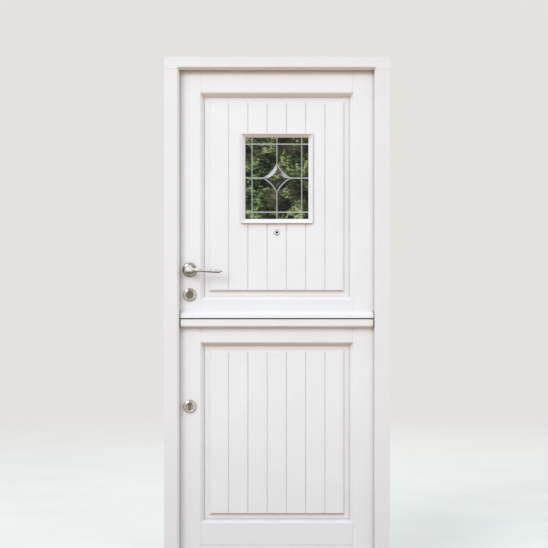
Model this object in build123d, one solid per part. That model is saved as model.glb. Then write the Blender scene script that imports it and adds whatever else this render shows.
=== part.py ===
from build123d import *
import math
import os

# Stable door with its frame: two leaves, one above the other, that open inwards on their
# own hinges. Seen from outside, X is to the right, +Y goes into the building and +Z is up.
# The origin is in the middle of the sill's underside, on the frame's outer face.
# All sizes are millimetres.

# Frame
frame_width = 900.0
frame_height = 2087.0
jamb_face = 60.0
head_face = 49.0
stop_depth = 38.0
rebate_width = 13.0
arris = 8.0
sill_height = 45.0
sill_fall = 7.0
jamb_tenon_thick = 18.0
jamb_tenon_wide = 30.0
jamb_tenon_long = 32.0
joint_vee = 0.7
seal_gap = 3.0
seal_squeeze = 0.3
seal_stem = 3.0
seal_stem_deep = 4.0
seal_lip = 8.0
fixing_hole = 10.5
fixing_counterbore = 20.0
fixing_counterbore_deep = 12.0
fixings_above_foot = (420.0, 1010.0)
fixings_below_head = (538.0, 298.0)

# Aluminium bar on the sill
bar_thick = 4.0
bar_height = 17.0
bar_foot = 24.0
bar_foot_thick = 2.0
bar_edge = 1.6
bar_seal_height = 7.0
bar_seal_drop = 2.0

# Leaves
leaf_thick = 54.0
edge_gap = 3.0
meeting_gap = 4.0
upper_leaf_height = 1003.5
stile_width = 96.0
top_rail_height = 99.0
upper_meeting_height = 72.0
lower_meeting_height = 95.0
bottom_rail_height = 173.0
foot_board_height = 86.0
rail_tenon_thick = 15.0
rail_tenon_long = 66.0
rail_tenon_inset = 14.0

# Moulding worked on the stiles and rails
stick_width = 12.5
stick_radius = 9.0
stick_quirk = 1.5

# Panels: one board each, rebated round the edge and grooved to look boarded
panel_recess = 12.0
field_rise = 5.0
field_bevel = 6.0
side_margin = 20.0
end_margin = 24.0
boards_across = 7
groove_wide = 8.0
groove_deep = 4.0
tongue_thick = 14.0
tongue_deep = 10.0
tongue_play = 1.5
quirk_gap = 0.8

# Bar that sheds water over the meeting of the leaves, and the nosing below it
drip_end_gap = 3.0
drip_rise = 29.5
drip_hang = 0.5
drip_slope = 18.0
drip_reach = 25.0
drip_lip = 3.5
drip_lip_high = 3.0
drip_nib = 1.0
throat_inset = 8.0
throat_wide = 4.0
throat_deep = 3.0
nosing_end_gap = 4.5
nosing_reach = 23.0
nosing_height = 34.0
nosing_fall = 1.0
nosing_top_round = 2.0
nosing_foot_round = 10.0
meeting_seal_thick = 5.0
meeting_seal_deep = 6.0
meeting_seal_gap = 0.5

# Window
sight_width = 254.0
sight_height = 328.0
window_drop = 442.0
surround_width = 18.0
surround_leg = 7.0
surround_rise = 8.0
surround_heel = 4.0
surround_flat = 4.0
surround_step = 1.5
surround_ease = 1.3
pane_thick = 4.0
spacer_deep = 12.0
spacer_wide = 5.0
pane_inset = 15.0
pane_play = 1.5
lead_width = 5.5
lead_thick = 1.6
lead_side = 100.0
lead_end = 137.0
star_width = 102.0
star_height = 100.0
star_hollow = 5.5
star_gap = 0.4
star_bevel = 10.0
star_rim = 1.0
star_rise = 3.0

# Door viewer
viewer_drop = 218.0
viewer_flange = 24.0
viewer_flange_thick = 3.0
viewer_flange_ease = 2.0
viewer_barrel_d = 14.0
viewer_wall = 1.5
viewer_lens_inset = 0.6
viewer_lens_thick = 3.0
viewer_lens_lip = 0.5
viewer_short = 12.0
viewer_overlap = 10.0

# Hinges
hinge_height = 100.0
hinge_plate = 3.0
hinge_plate_wide = 33.0
plate_gap = 0.6
knuckle_d = 12.5
knuckle_count = 5
knuckle_gap = 0.4
pin_d = 6.0
pin_play = 0.05
pin_proud = 5.0
pin_head = 2.5
pin_head_d = 9.0
upper_hinge_inset = 150.0
lowest_hinge_inset = 200.0
screw_d = 4.2
screw_head_d = 8.6
screw_head_deep = 2.4
screw_long = 28.0
screw_near = 9.0
screw_far = 12.0
screw_rises = (36.0, 13.0)

# Lock cases
backset = 50.0
lever_rise = 193.5
lever_to_key = 92.0
lower_key_drop = 342.5
case_thick = 16.0
case_wall = 1.5
case_deep = 75.0
forend_wide = 24.0
forend_thick = 3.0
upper_forend_high = 234.0
lower_forend_high = 150.0
upper_case_above = 42.0
upper_case_below = 36.0
lower_case_above = 62.0
lower_case_below = 36.0
bolt_thick = 12.0
bolt_ease = 2.0
bolt_play = 0.5
dead_bolt_high = 24.0
dead_bolt_long = 68.0
dead_bolt_above_key = 36.0
dead_bolt_throw = 20.0
slot_post = 6.0
latch_high = 18.0
latch_long = 26.0
latch_above_spindle = 26.0
latch_throw = 12.0
latch_tip = 2.5
latch_tail_high = 6.0
latch_tail_inset = 2.0
latch_lug = 6.0
latch_play = 0.8
lug_share = 0.72
keep_thick = 2.5
keep_margin = 26.0
pocket_play = 1.5
pocket_floor_gap = 2.0

# Euro profile cylinders
profile_round_d = 17.0
profile_leg_wide = 10.0
profile_high = 33.0
plug_d = 13.0
plug_play = 0.05
plug_end_gap = 0.1
cam_wide = 9.4
cam_slot = 10.0
cam_reach = 15.5
cam_play = 0.6
cam_ring_play = 0.3
cam_root = 9.0
cam_shoulder = 6.0
cam_tip = 3.0
cam_corner = 1.5
cam_angle = 30.0
key_slot_wide = 2.2
key_slot_high = 8.5
key_slot_deep = 22.0
cylinder_hole_play = 0.8
escutcheon_hole_play = 0.2
turn_gap = 1.0
turn_long = 18.0
turn_wide = 30.0
turn_thick = 11.0
turn_corner = 6.0
turn_edge = 2.0

# Round plates
rose_d = 57.0
rose_thick = 9.0
rose_edge = 4.0
rose_edge_deep = 6.0
rose_ledge = 4.0
rose_step = 1.2
escutcheon_d = 50.0
escutcheon_thick = 8.0
escutcheon_rim = 6.0
escutcheon_dish = 1.8
escutcheon_plate_rise = 0.9
escutcheon_plate_slope = 2.0

# Lever handles: the grip leaves a turned head and droops a little
neck_d = 18.0
neck_play = 0.1
neck_gap = 1.0
neck_bore_play = 2.0
collar_d = 26.0
collar_gap = 0.8
collar_thick = 3.0
waist = 1.5
head_d = 35.0
head_back = 8.0
head_ease = 1.0
head_dome = 15.5
arm_offset = 46.0
arm_root = 8.0
lever_reach = 134.5
lever_droop = 2.3
arm_neck_d = 13.2
bead_at = 34.0
bead_wide = 14.0
bead_rise = 1.7
arm_swell = 0.6
arm_end_d = 18.8
arm_ring = 2.5
arm_ring_step = 1.0
finial_d = 10.0
finial_long = 14.0
spindle_side = 8.0
spindle_play = 0.05
spindle_end_gap = 2.0
follower_d = 21.0
follower_arm = 18.0
follower_tip = 3.0
follower_root = 4.0
follower_inset = 1.0

# Bolt that links the leaves, on the inside
link_plate_wide = 34.0
link_plate_long = 122.0
link_plate_thick = 2.5
link_bolt_d = 10.0
link_bolt_long = 112.0
link_bolt_ease = 1.5
link_staple_wide = 20.0
link_staple_thick = 8.0
link_staple_wall = 2.5
link_staple_round = 5.0
link_stand_off = 1.0
link_play = 0.4
link_top_gap = 6.0
link_top_inset = 4.0
link_middle_drop = 60.0
link_foot_inset = 2.0
link_keeper_lift = 6.0
link_keeper_margin = 4.0
link_keeper_inset = 3.0
link_keeper_play = 0.6
link_throw = 36.0
link_knob_d = 12.0
link_knob_out = 20.0
link_knob_thick = 9.0
link_knob_rise = 8.0
link_knob_round = 2.5
link_stem_d = 7.2

# Worked out from the above: frame and leaves
stop_half = frame_width / 2 - jamb_face
rebate_half = stop_half + rebate_width
leaf_half = rebate_half - edge_gap
frame_depth = stop_depth + seal_gap + leaf_thick
leaf_out = stop_depth + seal_gap
leaf_in = leaf_out + leaf_thick
leaf_mid = (leaf_out + leaf_in) / 2
head_under = frame_height - head_face
rebate_top = head_under + rebate_width
leaf_top = rebate_top - edge_gap
leaf_foot = sill_height + edge_gap
upper_low = leaf_top - upper_leaf_height
lower_high = upper_low - meeting_gap
fixing_heights = fixings_above_foot + tuple(head_under - drop for drop in fixings_below_head)

# Worked out: mouldings, panels and window
stick_line = leaf_half - stile_width
open_half = stick_line - stick_width
margin_out = leaf_out + panel_recess
margin_in = leaf_in - panel_recess
field_out = margin_out - field_rise
field_in = margin_in + field_rise
foot_top = leaf_foot + foot_board_height
upper_open = (upper_low + upper_meeting_height + stick_width, leaf_top - top_rail_height - stick_width)
lower_open = (leaf_foot + bottom_rail_height + stick_width, lower_high - lower_meeting_height - stick_width)
window_mid = leaf_top - window_drop
sight_half = sight_width / 2
sight_rise = sight_height / 2
hole_half = sight_half + surround_leg
hole_rise = sight_rise + surround_leg
pane_half = hole_half - pane_play
pane_rise = hole_rise - pane_play
pane_out = leaf_out + pane_inset
pane_in = pane_out + 2 * pane_thick + spacer_deep
viewer_height = window_mid - viewer_drop

# Worked out: hinges and locks
hinge_x = leaf_half + edge_gap / 2
hinge_y = leaf_in + pin_proud
upper_hinges = (upper_low + upper_hinge_inset, leaf_top - upper_hinge_inset)
lower_hinges = (leaf_foot + lowest_hinge_inset, lower_high - upper_hinge_inset)
lock_x = -leaf_half + backset
lever_height = upper_low + lever_rise
upper_key_height = lever_height - lever_to_key
lower_key_height = lower_high - lower_key_drop
upper_case = (upper_key_height - upper_case_below, lever_height + upper_case_above)
lower_case = (lower_key_height - lower_case_below, lower_key_height + lower_case_above)
forend_back = -leaf_half + forend_thick
case_back = forend_back + case_deep
post_x = forend_back + dead_bolt_long - slot_post - dead_bolt_throw
latch_mid = lever_height + latch_above_spindle
upper_bolt_mid = upper_key_height + dead_bolt_above_key
lower_bolt_mid = lower_key_height + dead_bolt_above_key
upper_bolts = ((upper_bolt_mid, dead_bolt_high), (latch_mid, latch_high))
lower_bolts = ((lower_bolt_mid, dead_bolt_high),)
socket_half = spindle_side / 2 + spindle_play
link_top = lower_high - link_top_gap
link_foot = link_top - link_plate_long
link_y = leaf_in + link_plate_thick + link_stand_off + link_bolt_d / 2


# Shapes that many pieces share

def block(x0, x1, y0, y1, z0, z1):
    # the two ends of each span may come in either order
    middle = Pos((x0 + x1) / 2, (y0 + y1) / 2, (z0 + z1) / 2)
    return middle * Box(abs(x1 - x0), abs(y1 - y0), abs(z1 - z0))


def rod_x(y, z, d, x0, x1):
    return Pos((x0 + x1) / 2, y, z) * Rot(0, 90, 0) * Cylinder(d / 2, abs(x1 - x0))


def rod_y(x, z, d, y0, y1):
    return Pos(x, (y0 + y1) / 2, z) * Rot(90, 0, 0) * Cylinder(d / 2, y1 - y0)


def rod_z(x, y, d, z0, z1):
    return Pos(x, y, (z0 + z1) / 2) * Cylinder(d / 2, z1 - z0)


def run_x(outline, x0, x1):
    # a length along X from an outline of (y, z) points
    face = Plane.YZ.offset(x0) * make_face(Polyline(*outline, close=True))
    return extrude(face, amount=x1 - x0)


def run_y(face, y0, y1):
    # a face drawn in (x, z), carried from y0 to y1
    return extrude(Plane.XZ.offset(-y1) * face, amount=y1 - y0)


def run_z(outline, z0, z1):
    # a length along Z from an outline of (x, y) points
    face = Plane.XY.offset(z0) * make_face(Polyline(*outline, close=True))
    return extrude(face, amount=z1 - z0)


def turned_y(x, z, line):
    # a line of edges in (radius, y), closed along the axis and turned about it
    place = Plane(origin=(x, 0, z), x_dir=(1, 0, 0), z_dir=(0, 0, 1))
    return revolve(place * make_face(line), axis=Axis((x, 0, z), (0, 1, 0)))


def mirrored_in(shape):
    # the same piece on the inner face of the leaf
    return mirror(shape, about=Plane.XZ.offset(-leaf_mid))


def group(pieces):
    return Compound(children=[piece.solid() for piece in pieces])


def mitred_lengths(face, half, z_low, z_high, reach):
    # four mitred lengths of one section round an opening: the face is drawn in (u, y),
    # where u runs outwards from the opening's edge, and reach is its largest u
    corners = ((half, z_low), (half, z_high), (-half, z_high), (-half, z_low))
    sides = (
        ((half, 0, z_low - reach), (1, 0, 0), (0, 0, 1), z_high - z_low),
        ((half + reach, 0, z_high), (0, 0, 1), (-1, 0, 0), 2 * half),
        ((-half, 0, z_high + reach), (-1, 0, 0), (0, 0, -1), z_high - z_low),
        ((-half - reach, 0, z_low), (0, 0, -1), (1, 0, 0), 2 * half),
    )
    lengths = []
    for side, (origin, outwards, along, clear) in enumerate(sides):
        a = corners[side]
        b = corners[(side + 1) % 4]
        a_out = (a[0] + math.copysign(reach, a[0]), a[1] + (reach if a[1] == z_high else -reach))
        b_out = (b[0] + math.copysign(reach, b[0]), b[1] + (reach if b[1] == z_high else -reach))
        place = Plane(origin=origin, x_dir=outwards, z_dir=along)
        length = extrude(place * face, amount=clear + 2 * reach)
        mitre = run_y(make_face(Polyline(a, b, b_out, a_out, close=True)), -frame_depth, 2 * frame_depth)
        lengths.append(length & mitre)
    return lengths


def level_joint(y, inwards, z, x0, x1):
    # the fine vee where two pieces meet along X on one face
    return run_x(((y, z - joint_vee), (y, z + joint_vee), (y + inwards * joint_vee, z)), x0, x1)


def upright_joint(y, inwards, x, z0, z1):
    return run_z(((x - joint_vee, y), (x + joint_vee, y), (x, y + inwards * joint_vee)), z0, z1)


# Frame pieces

def jamb_tenon(side, z0, z1):
    mid_x = side * (rebate_half + frame_width / 2) / 2
    mid_y = frame_depth / 2
    return block(
        mid_x - jamb_tenon_wide / 2, mid_x + jamb_tenon_wide / 2,
        mid_y - jamb_tenon_thick / 2, mid_y + jamb_tenon_thick / 2, z0, z1,
    )


def seal_stem_ring():
    middle = stop_half + rebate_width / 2 - seal_stem / 2
    top = head_under + rebate_width / 2 - seal_stem / 2
    outer = block(-middle - seal_stem, middle + seal_stem, stop_depth - seal_stem_deep, stop_depth,
                  sill_height + bar_height, top + seal_stem)
    return outer - block(-middle, middle, 0, frame_depth, 0, top)


def frame_seal():
    inset = (rebate_width - seal_lip) / 2
    low = stop_half + inset
    top = head_under + inset
    lip = block(-low - seal_lip, low + seal_lip, stop_depth, leaf_out - seal_squeeze,
                sill_height + bar_height, top + seal_lip)
    lip -= block(-low, low, 0, frame_depth, 0, top)
    return seal_stem_ring() + lip


def frame_ring():
    outer = block(-frame_width / 2, frame_width / 2, 0, frame_depth, sill_height, frame_height)
    opening = block(-stop_half, stop_half, 0, frame_depth, 0, head_under)
    rebate = block(-rebate_half, rebate_half, stop_depth, frame_depth, 0, rebate_top)
    ring = outer - opening - rebate - seal_stem_ring()
    chamfer_face = make_face(Polyline((0, 0), (arris, 0), (0, arris), close=True))
    for length in mitred_lengths(chamfer_face, stop_half, -sill_height, head_under, arris):
        ring -= length
    for side in (-1, 1):
        for y, inwards, inner in ((0, 1, stop_half + arris), (frame_depth, -1, rebate_half)):
            ends = sorted((side * inner, side * frame_width / 2))
            ring -= level_joint(y, inwards, head_under, *ends)
    return ring


def fixing_holes():
    holes = []
    for side in (-1, 1):
        for z in fixing_heights:
            wall = side * rebate_half
            holes.append(rod_x(leaf_mid, z, fixing_hole, wall, side * frame_width / 2))
            holes.append(rod_x(leaf_mid, z, fixing_counterbore, wall, wall + side * fixing_counterbore_deep))
    return holes


def head_and_jambs():
    ring = frame_ring()
    above = block(-frame_width, frame_width, -frame_depth, 2 * frame_depth, head_under, 2 * frame_height)
    head = ring & above
    legs = ring - above
    for hole in fixing_holes():
        legs -= hole
    jambs = []
    for side in (-1, 1):
        half = block(0, side * frame_width, -frame_depth, 2 * frame_depth, -frame_height, 2 * frame_height)
        top_tenon = jamb_tenon(side, head_under, head_under + jamb_tenon_long)
        foot_tenon = jamb_tenon(side, sill_height - jamb_tenon_long, sill_height)
        head -= top_tenon
        jambs.append((legs & half) + top_tenon + foot_tenon)
    return head, jambs[0], jambs[1]


def bar_foot_seat():
    return block(-stop_half, stop_half, stop_depth - bar_thick, stop_depth + bar_foot,
                 sill_height - bar_foot_thick, sill_height)


def sill():
    body = block(-frame_width / 2, frame_width / 2, 0, frame_depth, 0, sill_height)
    fall = ((0, sill_height), (stop_depth - bar_thick, sill_height), (0, sill_height - sill_fall))
    body -= run_x(fall, -stop_half, stop_half)
    body -= bar_foot_seat()
    for side in (-1, 1):
        body -= jamb_tenon(side, sill_height - jamb_tenon_long, sill_height)
    return body


def threshold_bar():
    upstand = block(-stop_half, stop_half, stop_depth - bar_thick, stop_depth,
                    sill_height - bar_foot_thick, sill_height + bar_height)
    rounded = fillet(upstand.edges().filter_by(Axis.X).group_by(Axis.Z)[-1], bar_edge)
    return rounded + bar_foot_seat()


def threshold_seal():
    top = sill_height + bar_height - bar_seal_drop
    return block(-stop_half, stop_half, stop_depth, leaf_out - seal_squeeze, top - bar_seal_height, top)


# Leaf joinery

def sticking_cut():
    # what the moulding cutter takes off the arris, in (u, y)
    floor = leaf_out + stick_quirk
    slant = stick_radius * (1 - math.sqrt(0.5))
    line = Polyline((stick_radius, floor), (stick_width, floor), (stick_width, leaf_out),
                    (0, leaf_out), (0, floor + stick_radius))
    arc = ThreePointArc((0, floor + stick_radius), (slant, floor + slant), (stick_radius, floor))
    return make_face(line + arc)


def stuck_ring(z_low, z_high, open_low, open_high):
    ring = block(-leaf_half, leaf_half, leaf_out, leaf_in, z_low, z_high)
    ring -= block(-open_half, open_half, leaf_out, leaf_in, open_low, open_high)
    for cut in mitred_lengths(sticking_cut(), open_half, open_low, open_high, stick_width):
        ring -= cut
        ring -= mirrored_in(cut)
    deep = tongue_deep + tongue_play
    ring -= block(-open_half - deep, open_half + deep, leaf_mid - tongue_thick / 2, leaf_mid + tongue_thick / 2,
                  open_low - deep, open_high + deep)
    return ring


def stile_region(side, z_low, z_high, open_low, open_high):
    # the stile with its own length of moulding, mitred at both ends
    line = [
        (side * leaf_half, z_low), (side * leaf_half, z_high), (side * stick_line, z_high),
        (side * stick_line, open_high + stick_width), (side * open_half, open_high),
        (side * open_half, open_low), (side * stick_line, open_low - stick_width),
        (side * stick_line, z_low),
    ]
    return run_y(make_face(Polyline(*line, close=True)), leaf_out, leaf_in)


def rail_flat(low, high, opening):
    # the span of a rail that is clear of the moulding
    flat_low = low + stick_width if low == opening[1] else low
    flat_high = high - stick_width if high == opening[0] else high
    return flat_low, flat_high


def rail_tenon(side, z0, z1):
    return block(side * stick_line, side * (stick_line + rail_tenon_long), leaf_mid - rail_tenon_thick / 2,
                 leaf_mid + rail_tenon_thick / 2, z0 + rail_tenon_inset, z1 - rail_tenon_inset)


def joint_lines(opening, rails):
    lines = []
    for y, inwards in ((leaf_out, 1), (leaf_in, -1)):
        for low, high in rails:
            for side in (-1, 1):
                lines.append(upright_joint(y, inwards, side * stick_line, *rail_flat(low, high, opening)))
            if low in [other_high for _, other_high in rails]:
                lines.append(level_joint(y, inwards, low, -stick_line, stick_line))
    return lines


def leaf_joinery(z_low, z_high, opening, rails):
    # rails is a list of (low, high) for each rail, and the pieces come back as
    # the lock stile, the hinge stile and the rails in that order
    rest = stuck_ring(z_low, z_high, *opening)
    for line in joint_lines(opening, rails):
        rest -= line
    stiles = []
    for side in (-1, 1):
        region = stile_region(side, z_low, z_high, *opening)
        stiles.append(rest & region)
        rest -= region
    pieces = []
    for low, high in rails:
        rail = rest & block(-leaf_half, leaf_half, 0, frame_depth, low, high)
        for n, side in enumerate((-1, 1)):
            tenon = rail_tenon(side, *rail_flat(low, high, opening))
            stiles[n] -= tenon
            rail += tenon
        pieces.append(rail)
    return stiles, pieces


def raised_field(z_low, z_high):
    # raised middle of a panel on its outer face, bevelled all round
    face = Pos(0, (z_low + z_high) / 2) * Rectangle(2 * (open_half - side_margin), z_high - z_low)
    slope = math.degrees(math.atan2(field_bevel, field_rise))
    return extrude(Plane.XZ.offset(-margin_out) * face, amount=field_rise, taper=slope)


def panel(opening):
    low, high = opening
    body = block(-open_half + quirk_gap, open_half - quirk_gap, margin_out, margin_in,
                 low + quirk_gap, high - quirk_gap)
    body += block(-open_half - tongue_deep, open_half + tongue_deep, leaf_mid - tongue_thick / 2,
                  leaf_mid + tongue_thick / 2, low - tongue_deep, high + tongue_deep)
    outer_field = raised_field(low + end_margin, high - end_margin)
    body += outer_field
    body += mirrored_in(outer_field)
    pitch = 2 * (open_half - side_margin) / boards_across
    for n in range(1, boards_across):
        x = (n - boards_across / 2) * pitch
        vee = ((x - groove_wide / 2, field_out), (x + groove_wide / 2, field_out), (x, field_out + groove_deep))
        groove = run_z(vee, low, high)
        body -= groove
        body -= mirrored_in(groove)
    return body


def window_hole():
    return block(-hole_half, hole_half, 0, frame_depth, window_mid - hole_rise, window_mid + hole_rise)


def viewer_hole():
    return rod_y(0, viewer_height, viewer_barrel_d, 0, frame_depth)


# Bars at the meeting of the leaves

def drip_bar():
    top = upper_low + drip_rise
    low = upper_low - drip_hang
    front = leaf_out - drip_reach
    fascia = front + drip_lip
    throat = front + throat_inset
    outline = (
        (leaf_out, top), (fascia, top - drip_slope), (fascia, low + drip_lip_high + drip_lip),
        (front, low + drip_lip_high), (front, low + drip_nib), (front + drip_nib, low),
        (throat, low), (throat, low + throat_deep),
        (throat + throat_wide, low + throat_deep), (throat + throat_wide, low), (leaf_out, low),
    )
    half = stop_half - drip_end_gap
    return run_x(outline, -half, half)


def nosing():
    front = leaf_out - nosing_reach
    low = lower_high - nosing_height
    half = stop_half - nosing_end_gap
    outline = ((leaf_out, lower_high), (front, lower_high - nosing_fall), (front, low), (leaf_out, low))
    bar = run_x(outline, -half, half)
    for end, radius in ((0, nosing_foot_round), (-1, nosing_top_round)):
        front_edges = bar.edges().filter_by(Axis.X).group_by(Axis.Y)[0].sort_by(Axis.Z)
        bar = fillet(front_edges[end], radius)
    return bar


def meeting_seal():
    return block(-leaf_half + edge_gap, leaf_half - edge_gap, leaf_mid - meeting_seal_thick / 2,
                 leaf_mid + meeting_seal_thick / 2, lower_high + meeting_seal_gap, upper_low + meeting_seal_deep)


# Window pieces

def surround_section(seat, crest, glass):
    # moulding round the window in (u, y): it sits on the panel and has a leg down to the glass
    inwards = 1 if glass > seat else -1
    flat_start = surround_width - surround_flat
    return make_face(Polyline(
        (0, glass), (0, seat + inwards * surround_heel),
        (flat_start - surround_step, crest + inwards * surround_step), (flat_start, crest),
        (surround_width - surround_ease, crest), (surround_width, crest + inwards * surround_ease),
        (surround_width, seat), (surround_leg, seat), (surround_leg, glass), close=True,
    ))


def window_ring(seat, crest, glass):
    section = surround_section(seat, crest, glass)
    return mitred_lengths(section, sight_half, window_mid - sight_rise, window_mid + sight_rise, surround_width)


def glass_panes():
    return [
        block(-pane_half, pane_half, y, y + pane_thick, window_mid - pane_rise, window_mid + pane_rise)
        for y in (pane_out, pane_in - pane_thick)
    ]


def glass_spacer():
    y0 = pane_out + pane_thick
    y1 = y0 + spacer_deep
    clear_half = pane_half - spacer_wide
    clear_rise = pane_rise - spacer_wide
    ring = block(-pane_half, pane_half, y0, y1, window_mid - pane_rise, window_mid + pane_rise)
    return ring - block(-clear_half, clear_half, y0, y1, window_mid - clear_rise, window_mid + clear_rise)


def star_face(grow):
    # four points joined by hollow curves, about the window's middle
    across = star_width / 2 + grow
    up = star_height / 2 + grow
    tips = [(across, 0), (0, up), (-across, 0), (0, -up)]
    sides = []
    for a, b in zip(tips, tips[1:] + tips[:1]):
        middle = ((a[0] + b[0]) / 2, (a[1] + b[1]) / 2)
        inset = 1 - star_hollow / math.hypot(*middle)
        sides.append(ThreePointArc(a, (middle[0] * inset, middle[1] * inset), b))
    return Pos(0, window_mid) * make_face(Wire(sides))


def lead_strips():
    y0, y1 = pane_out - lead_thick, pane_out
    w = lead_width / 2
    strips = [block(x - w, x + w, y0, y1, window_mid - sight_rise, window_mid + sight_rise)
              for x in (-lead_side, 0, lead_side)]
    strips += [block(-sight_half, sight_half, y0, y1, z - w, z + w)
               for z in (window_mid - lead_end, window_mid, window_mid + lead_end)]
    net = run_y(star_face(lead_width), y0, y1)
    for strip in strips:
        net += strip
    return net - run_y(star_face(0), y0, y1)


def bevelled_star():
    face = star_face(-star_gap)
    slope = math.degrees(math.atan2(star_bevel, star_rise))
    rim_face = pane_out - star_rim
    rim = run_y(face, rim_face, pane_out)
    crown = extrude(Plane.XZ.offset(-rim_face) * face, amount=star_rise, taper=slope)
    return rim + crown


# Door viewer

def viewer_flange_disc(seat, outwards):
    edge = viewer_flange / 2
    crown = seat + outwards * viewer_flange_thick
    line = Polyline((0, seat), (edge, seat), (edge, crown - outwards * viewer_flange_ease),
                    (edge - viewer_flange_ease, crown), (0, crown), (0, seat))
    return turned_y(0, viewer_height, line)


def viewer_pieces():
    z = viewer_height
    bore = viewer_barrel_d - 2 * viewer_wall
    eye = bore - 2 * viewer_lens_lip
    outer_face = field_out - viewer_flange_thick
    barrel_end = field_in - viewer_short
    lens_out = outer_face + viewer_lens_inset
    lens_in = lens_out + viewer_lens_thick
    barrel = viewer_flange_disc(field_out, -1) + rod_y(0, z, viewer_barrel_d, field_out, barrel_end)
    barrel -= rod_y(0, z, eye, outer_face, lens_in)
    barrel -= rod_y(0, z, bore, lens_in, barrel_end)
    lens = rod_y(0, z, eye, lens_out, lens_in)
    sleeve = viewer_flange_disc(field_in, 1) + rod_y(0, z, bore, barrel_end - viewer_overlap, field_in)
    sleeve -= rod_y(0, z, bore - 2 * viewer_wall, 0, 2 * frame_depth)
    return barrel, lens, sleeve


# Hinges

def knuckles(z_mid, first):
    # (low, high) of every second knuckle, counted from the lowest
    step = hinge_height / knuckle_count
    low = z_mid - hinge_height / 2
    rings = []
    for n in range(first, knuckle_count, 2):
        ring_low = low + n * step + (knuckle_gap / 2 if n else 0)
        ring_high = low + (n + 1) * step - (knuckle_gap / 2 if n < knuckle_count - 1 else 0)
        rings.append((ring_low, ring_high))
    return rings


def screw_places(z_mid):
    near = leaf_in - hinge_plate_wide + screw_near
    far = leaf_in - screw_far
    outer_rise, inner_rise = screw_rises
    return [(y, z_mid + way * rise) for way in (-1, 1) for y, rise in ((near, outer_rise), (far, inner_rise))]


def hinge_screw(face_x, y, z, side):
    # side is the way that the screw goes in
    head = Plane(origin=(face_x, y, z), x_dir=(0, 1, 0), z_dir=(side, 0, 0))
    cone = extrude(head * Circle(screw_head_d / 2), amount=screw_head_deep,
                   taper=math.degrees(math.atan2((screw_head_d - screw_d) / 2, screw_head_deep)))
    return cone + rod_x(y, z, screw_d, face_x, face_x + side * screw_long)


def flap_face(on_frame):
    return rebate_half if on_frame else leaf_half - hinge_plate


def hinge_flap(z_mid, on_frame):
    low, high = z_mid - hinge_height / 2, z_mid + hinge_height / 2
    face = flap_face(on_frame)
    plate_end = hinge_y - knuckle_d / 2 - plate_gap
    flap = block(face, face + hinge_plate, leaf_in - hinge_plate_wide, plate_end, low, high)
    for z0, z1 in knuckles(z_mid, 0 if on_frame else 1):
        flap += block(face, face + hinge_plate, plate_end, hinge_y, z0, z1)
        flap += rod_z(hinge_x, hinge_y, knuckle_d, z0, z1)
    bore = pin_d if on_frame else pin_d + 2 * pin_play
    return flap - rod_z(hinge_x, hinge_y, bore, low, high)


def hinge_pin(z_mid):
    low, high = z_mid - hinge_height / 2, z_mid + hinge_height / 2
    pin = rod_z(hinge_x, hinge_y, pin_d, low, high)
    for z0 in (low - pin_head, high):
        pin += rod_z(hinge_x, hinge_y, pin_head_d, z0, z0 + pin_head)
    return pin


def hinge_recess(z_mid, on_frame):
    face = flap_face(on_frame)
    return block(face, face + hinge_plate, leaf_in - hinge_plate_wide, leaf_in,
                 z_mid - hinge_height / 2, z_mid + hinge_height / 2)


def flap_screws(z_mid, on_frame):
    face_x, side = (rebate_half, 1) if on_frame else (leaf_half, -1)
    return [hinge_screw(face_x, y, z, side) for y, z in screw_places(z_mid)]


def hinged(upright, heights, on_frame):
    # lets the flaps into a jamb or stile, and gives it back with its flaps and their screws
    flaps, screws = [], []
    for z in heights:
        flap = hinge_flap(z, on_frame)
        upright -= hinge_recess(z, on_frame)
        for screw in flap_screws(z, on_frame):
            screws.append(screw)
            flap -= screw
            upright -= screw
        flaps.append(flap)
    return upright, group(flaps), group(screws)


# Locks

def profile_run(key_height, play, y0, y1):
    # euro profile about the plug's centre
    leg_end = (profile_round_d + profile_leg_wide) / 2 - profile_high
    leg_wide = profile_leg_wide + 2 * play
    leg = Pos(0, leg_end / 2) * Rectangle(leg_wide, abs(leg_end))
    face = Circle(profile_round_d / 2 + play) + leg + Pos(0, leg_end) * Circle(leg_wide / 2)
    return run_y(Pos(lock_x, key_height) * face, y0, y1)


def bolt_window(mid, high, play, x0, x1):
    return block(x0, x1, leaf_mid - bolt_thick / 2 - play, leaf_mid + bolt_thick / 2 + play,
                 mid - high / 2 - play, mid + high / 2 + play)


def forend(z_low, z_high, forend_high):
    middle = (z_low + z_high) / 2
    return block(-leaf_half, forend_back, leaf_mid - forend_wide / 2, leaf_mid + forend_wide / 2,
                 middle - forend_high / 2, middle + forend_high / 2)


def lock_case(z_low, z_high, forend_high, key_height, with_latch):
    y0, y1 = leaf_mid - case_thick / 2, leaf_mid + case_thick / 2
    case = block(forend_back, case_back, y0, y1, z_low, z_high)
    case -= block(forend_back, case_back - case_wall, y0 + case_wall, y1 - case_wall,
                  z_low + case_wall, z_high - case_wall)
    case += forend(z_low, z_high, forend_high)
    bolt_mid = key_height + dead_bolt_above_key
    case -= bolt_window(bolt_mid, dead_bolt_high, bolt_play, -leaf_half, forend_back)
    case -= profile_run(key_height, cylinder_hole_play, y0, y1)
    if with_latch:
        case -= bolt_window(latch_mid, latch_high, bolt_play, -leaf_half, forend_back)
        case -= rod_y(lock_x, lever_height, neck_d + 2 * neck_play, y0, y1)
    return case + rod_y(post_x, bolt_mid, slot_post, y0, y1)


def case_mortise(z_low, z_high, forend_high):
    mortise = block(-leaf_half, case_back, leaf_mid - case_thick / 2, leaf_mid + case_thick / 2, z_low, z_high)
    return mortise + forend(z_low, z_high, forend_high)


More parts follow.
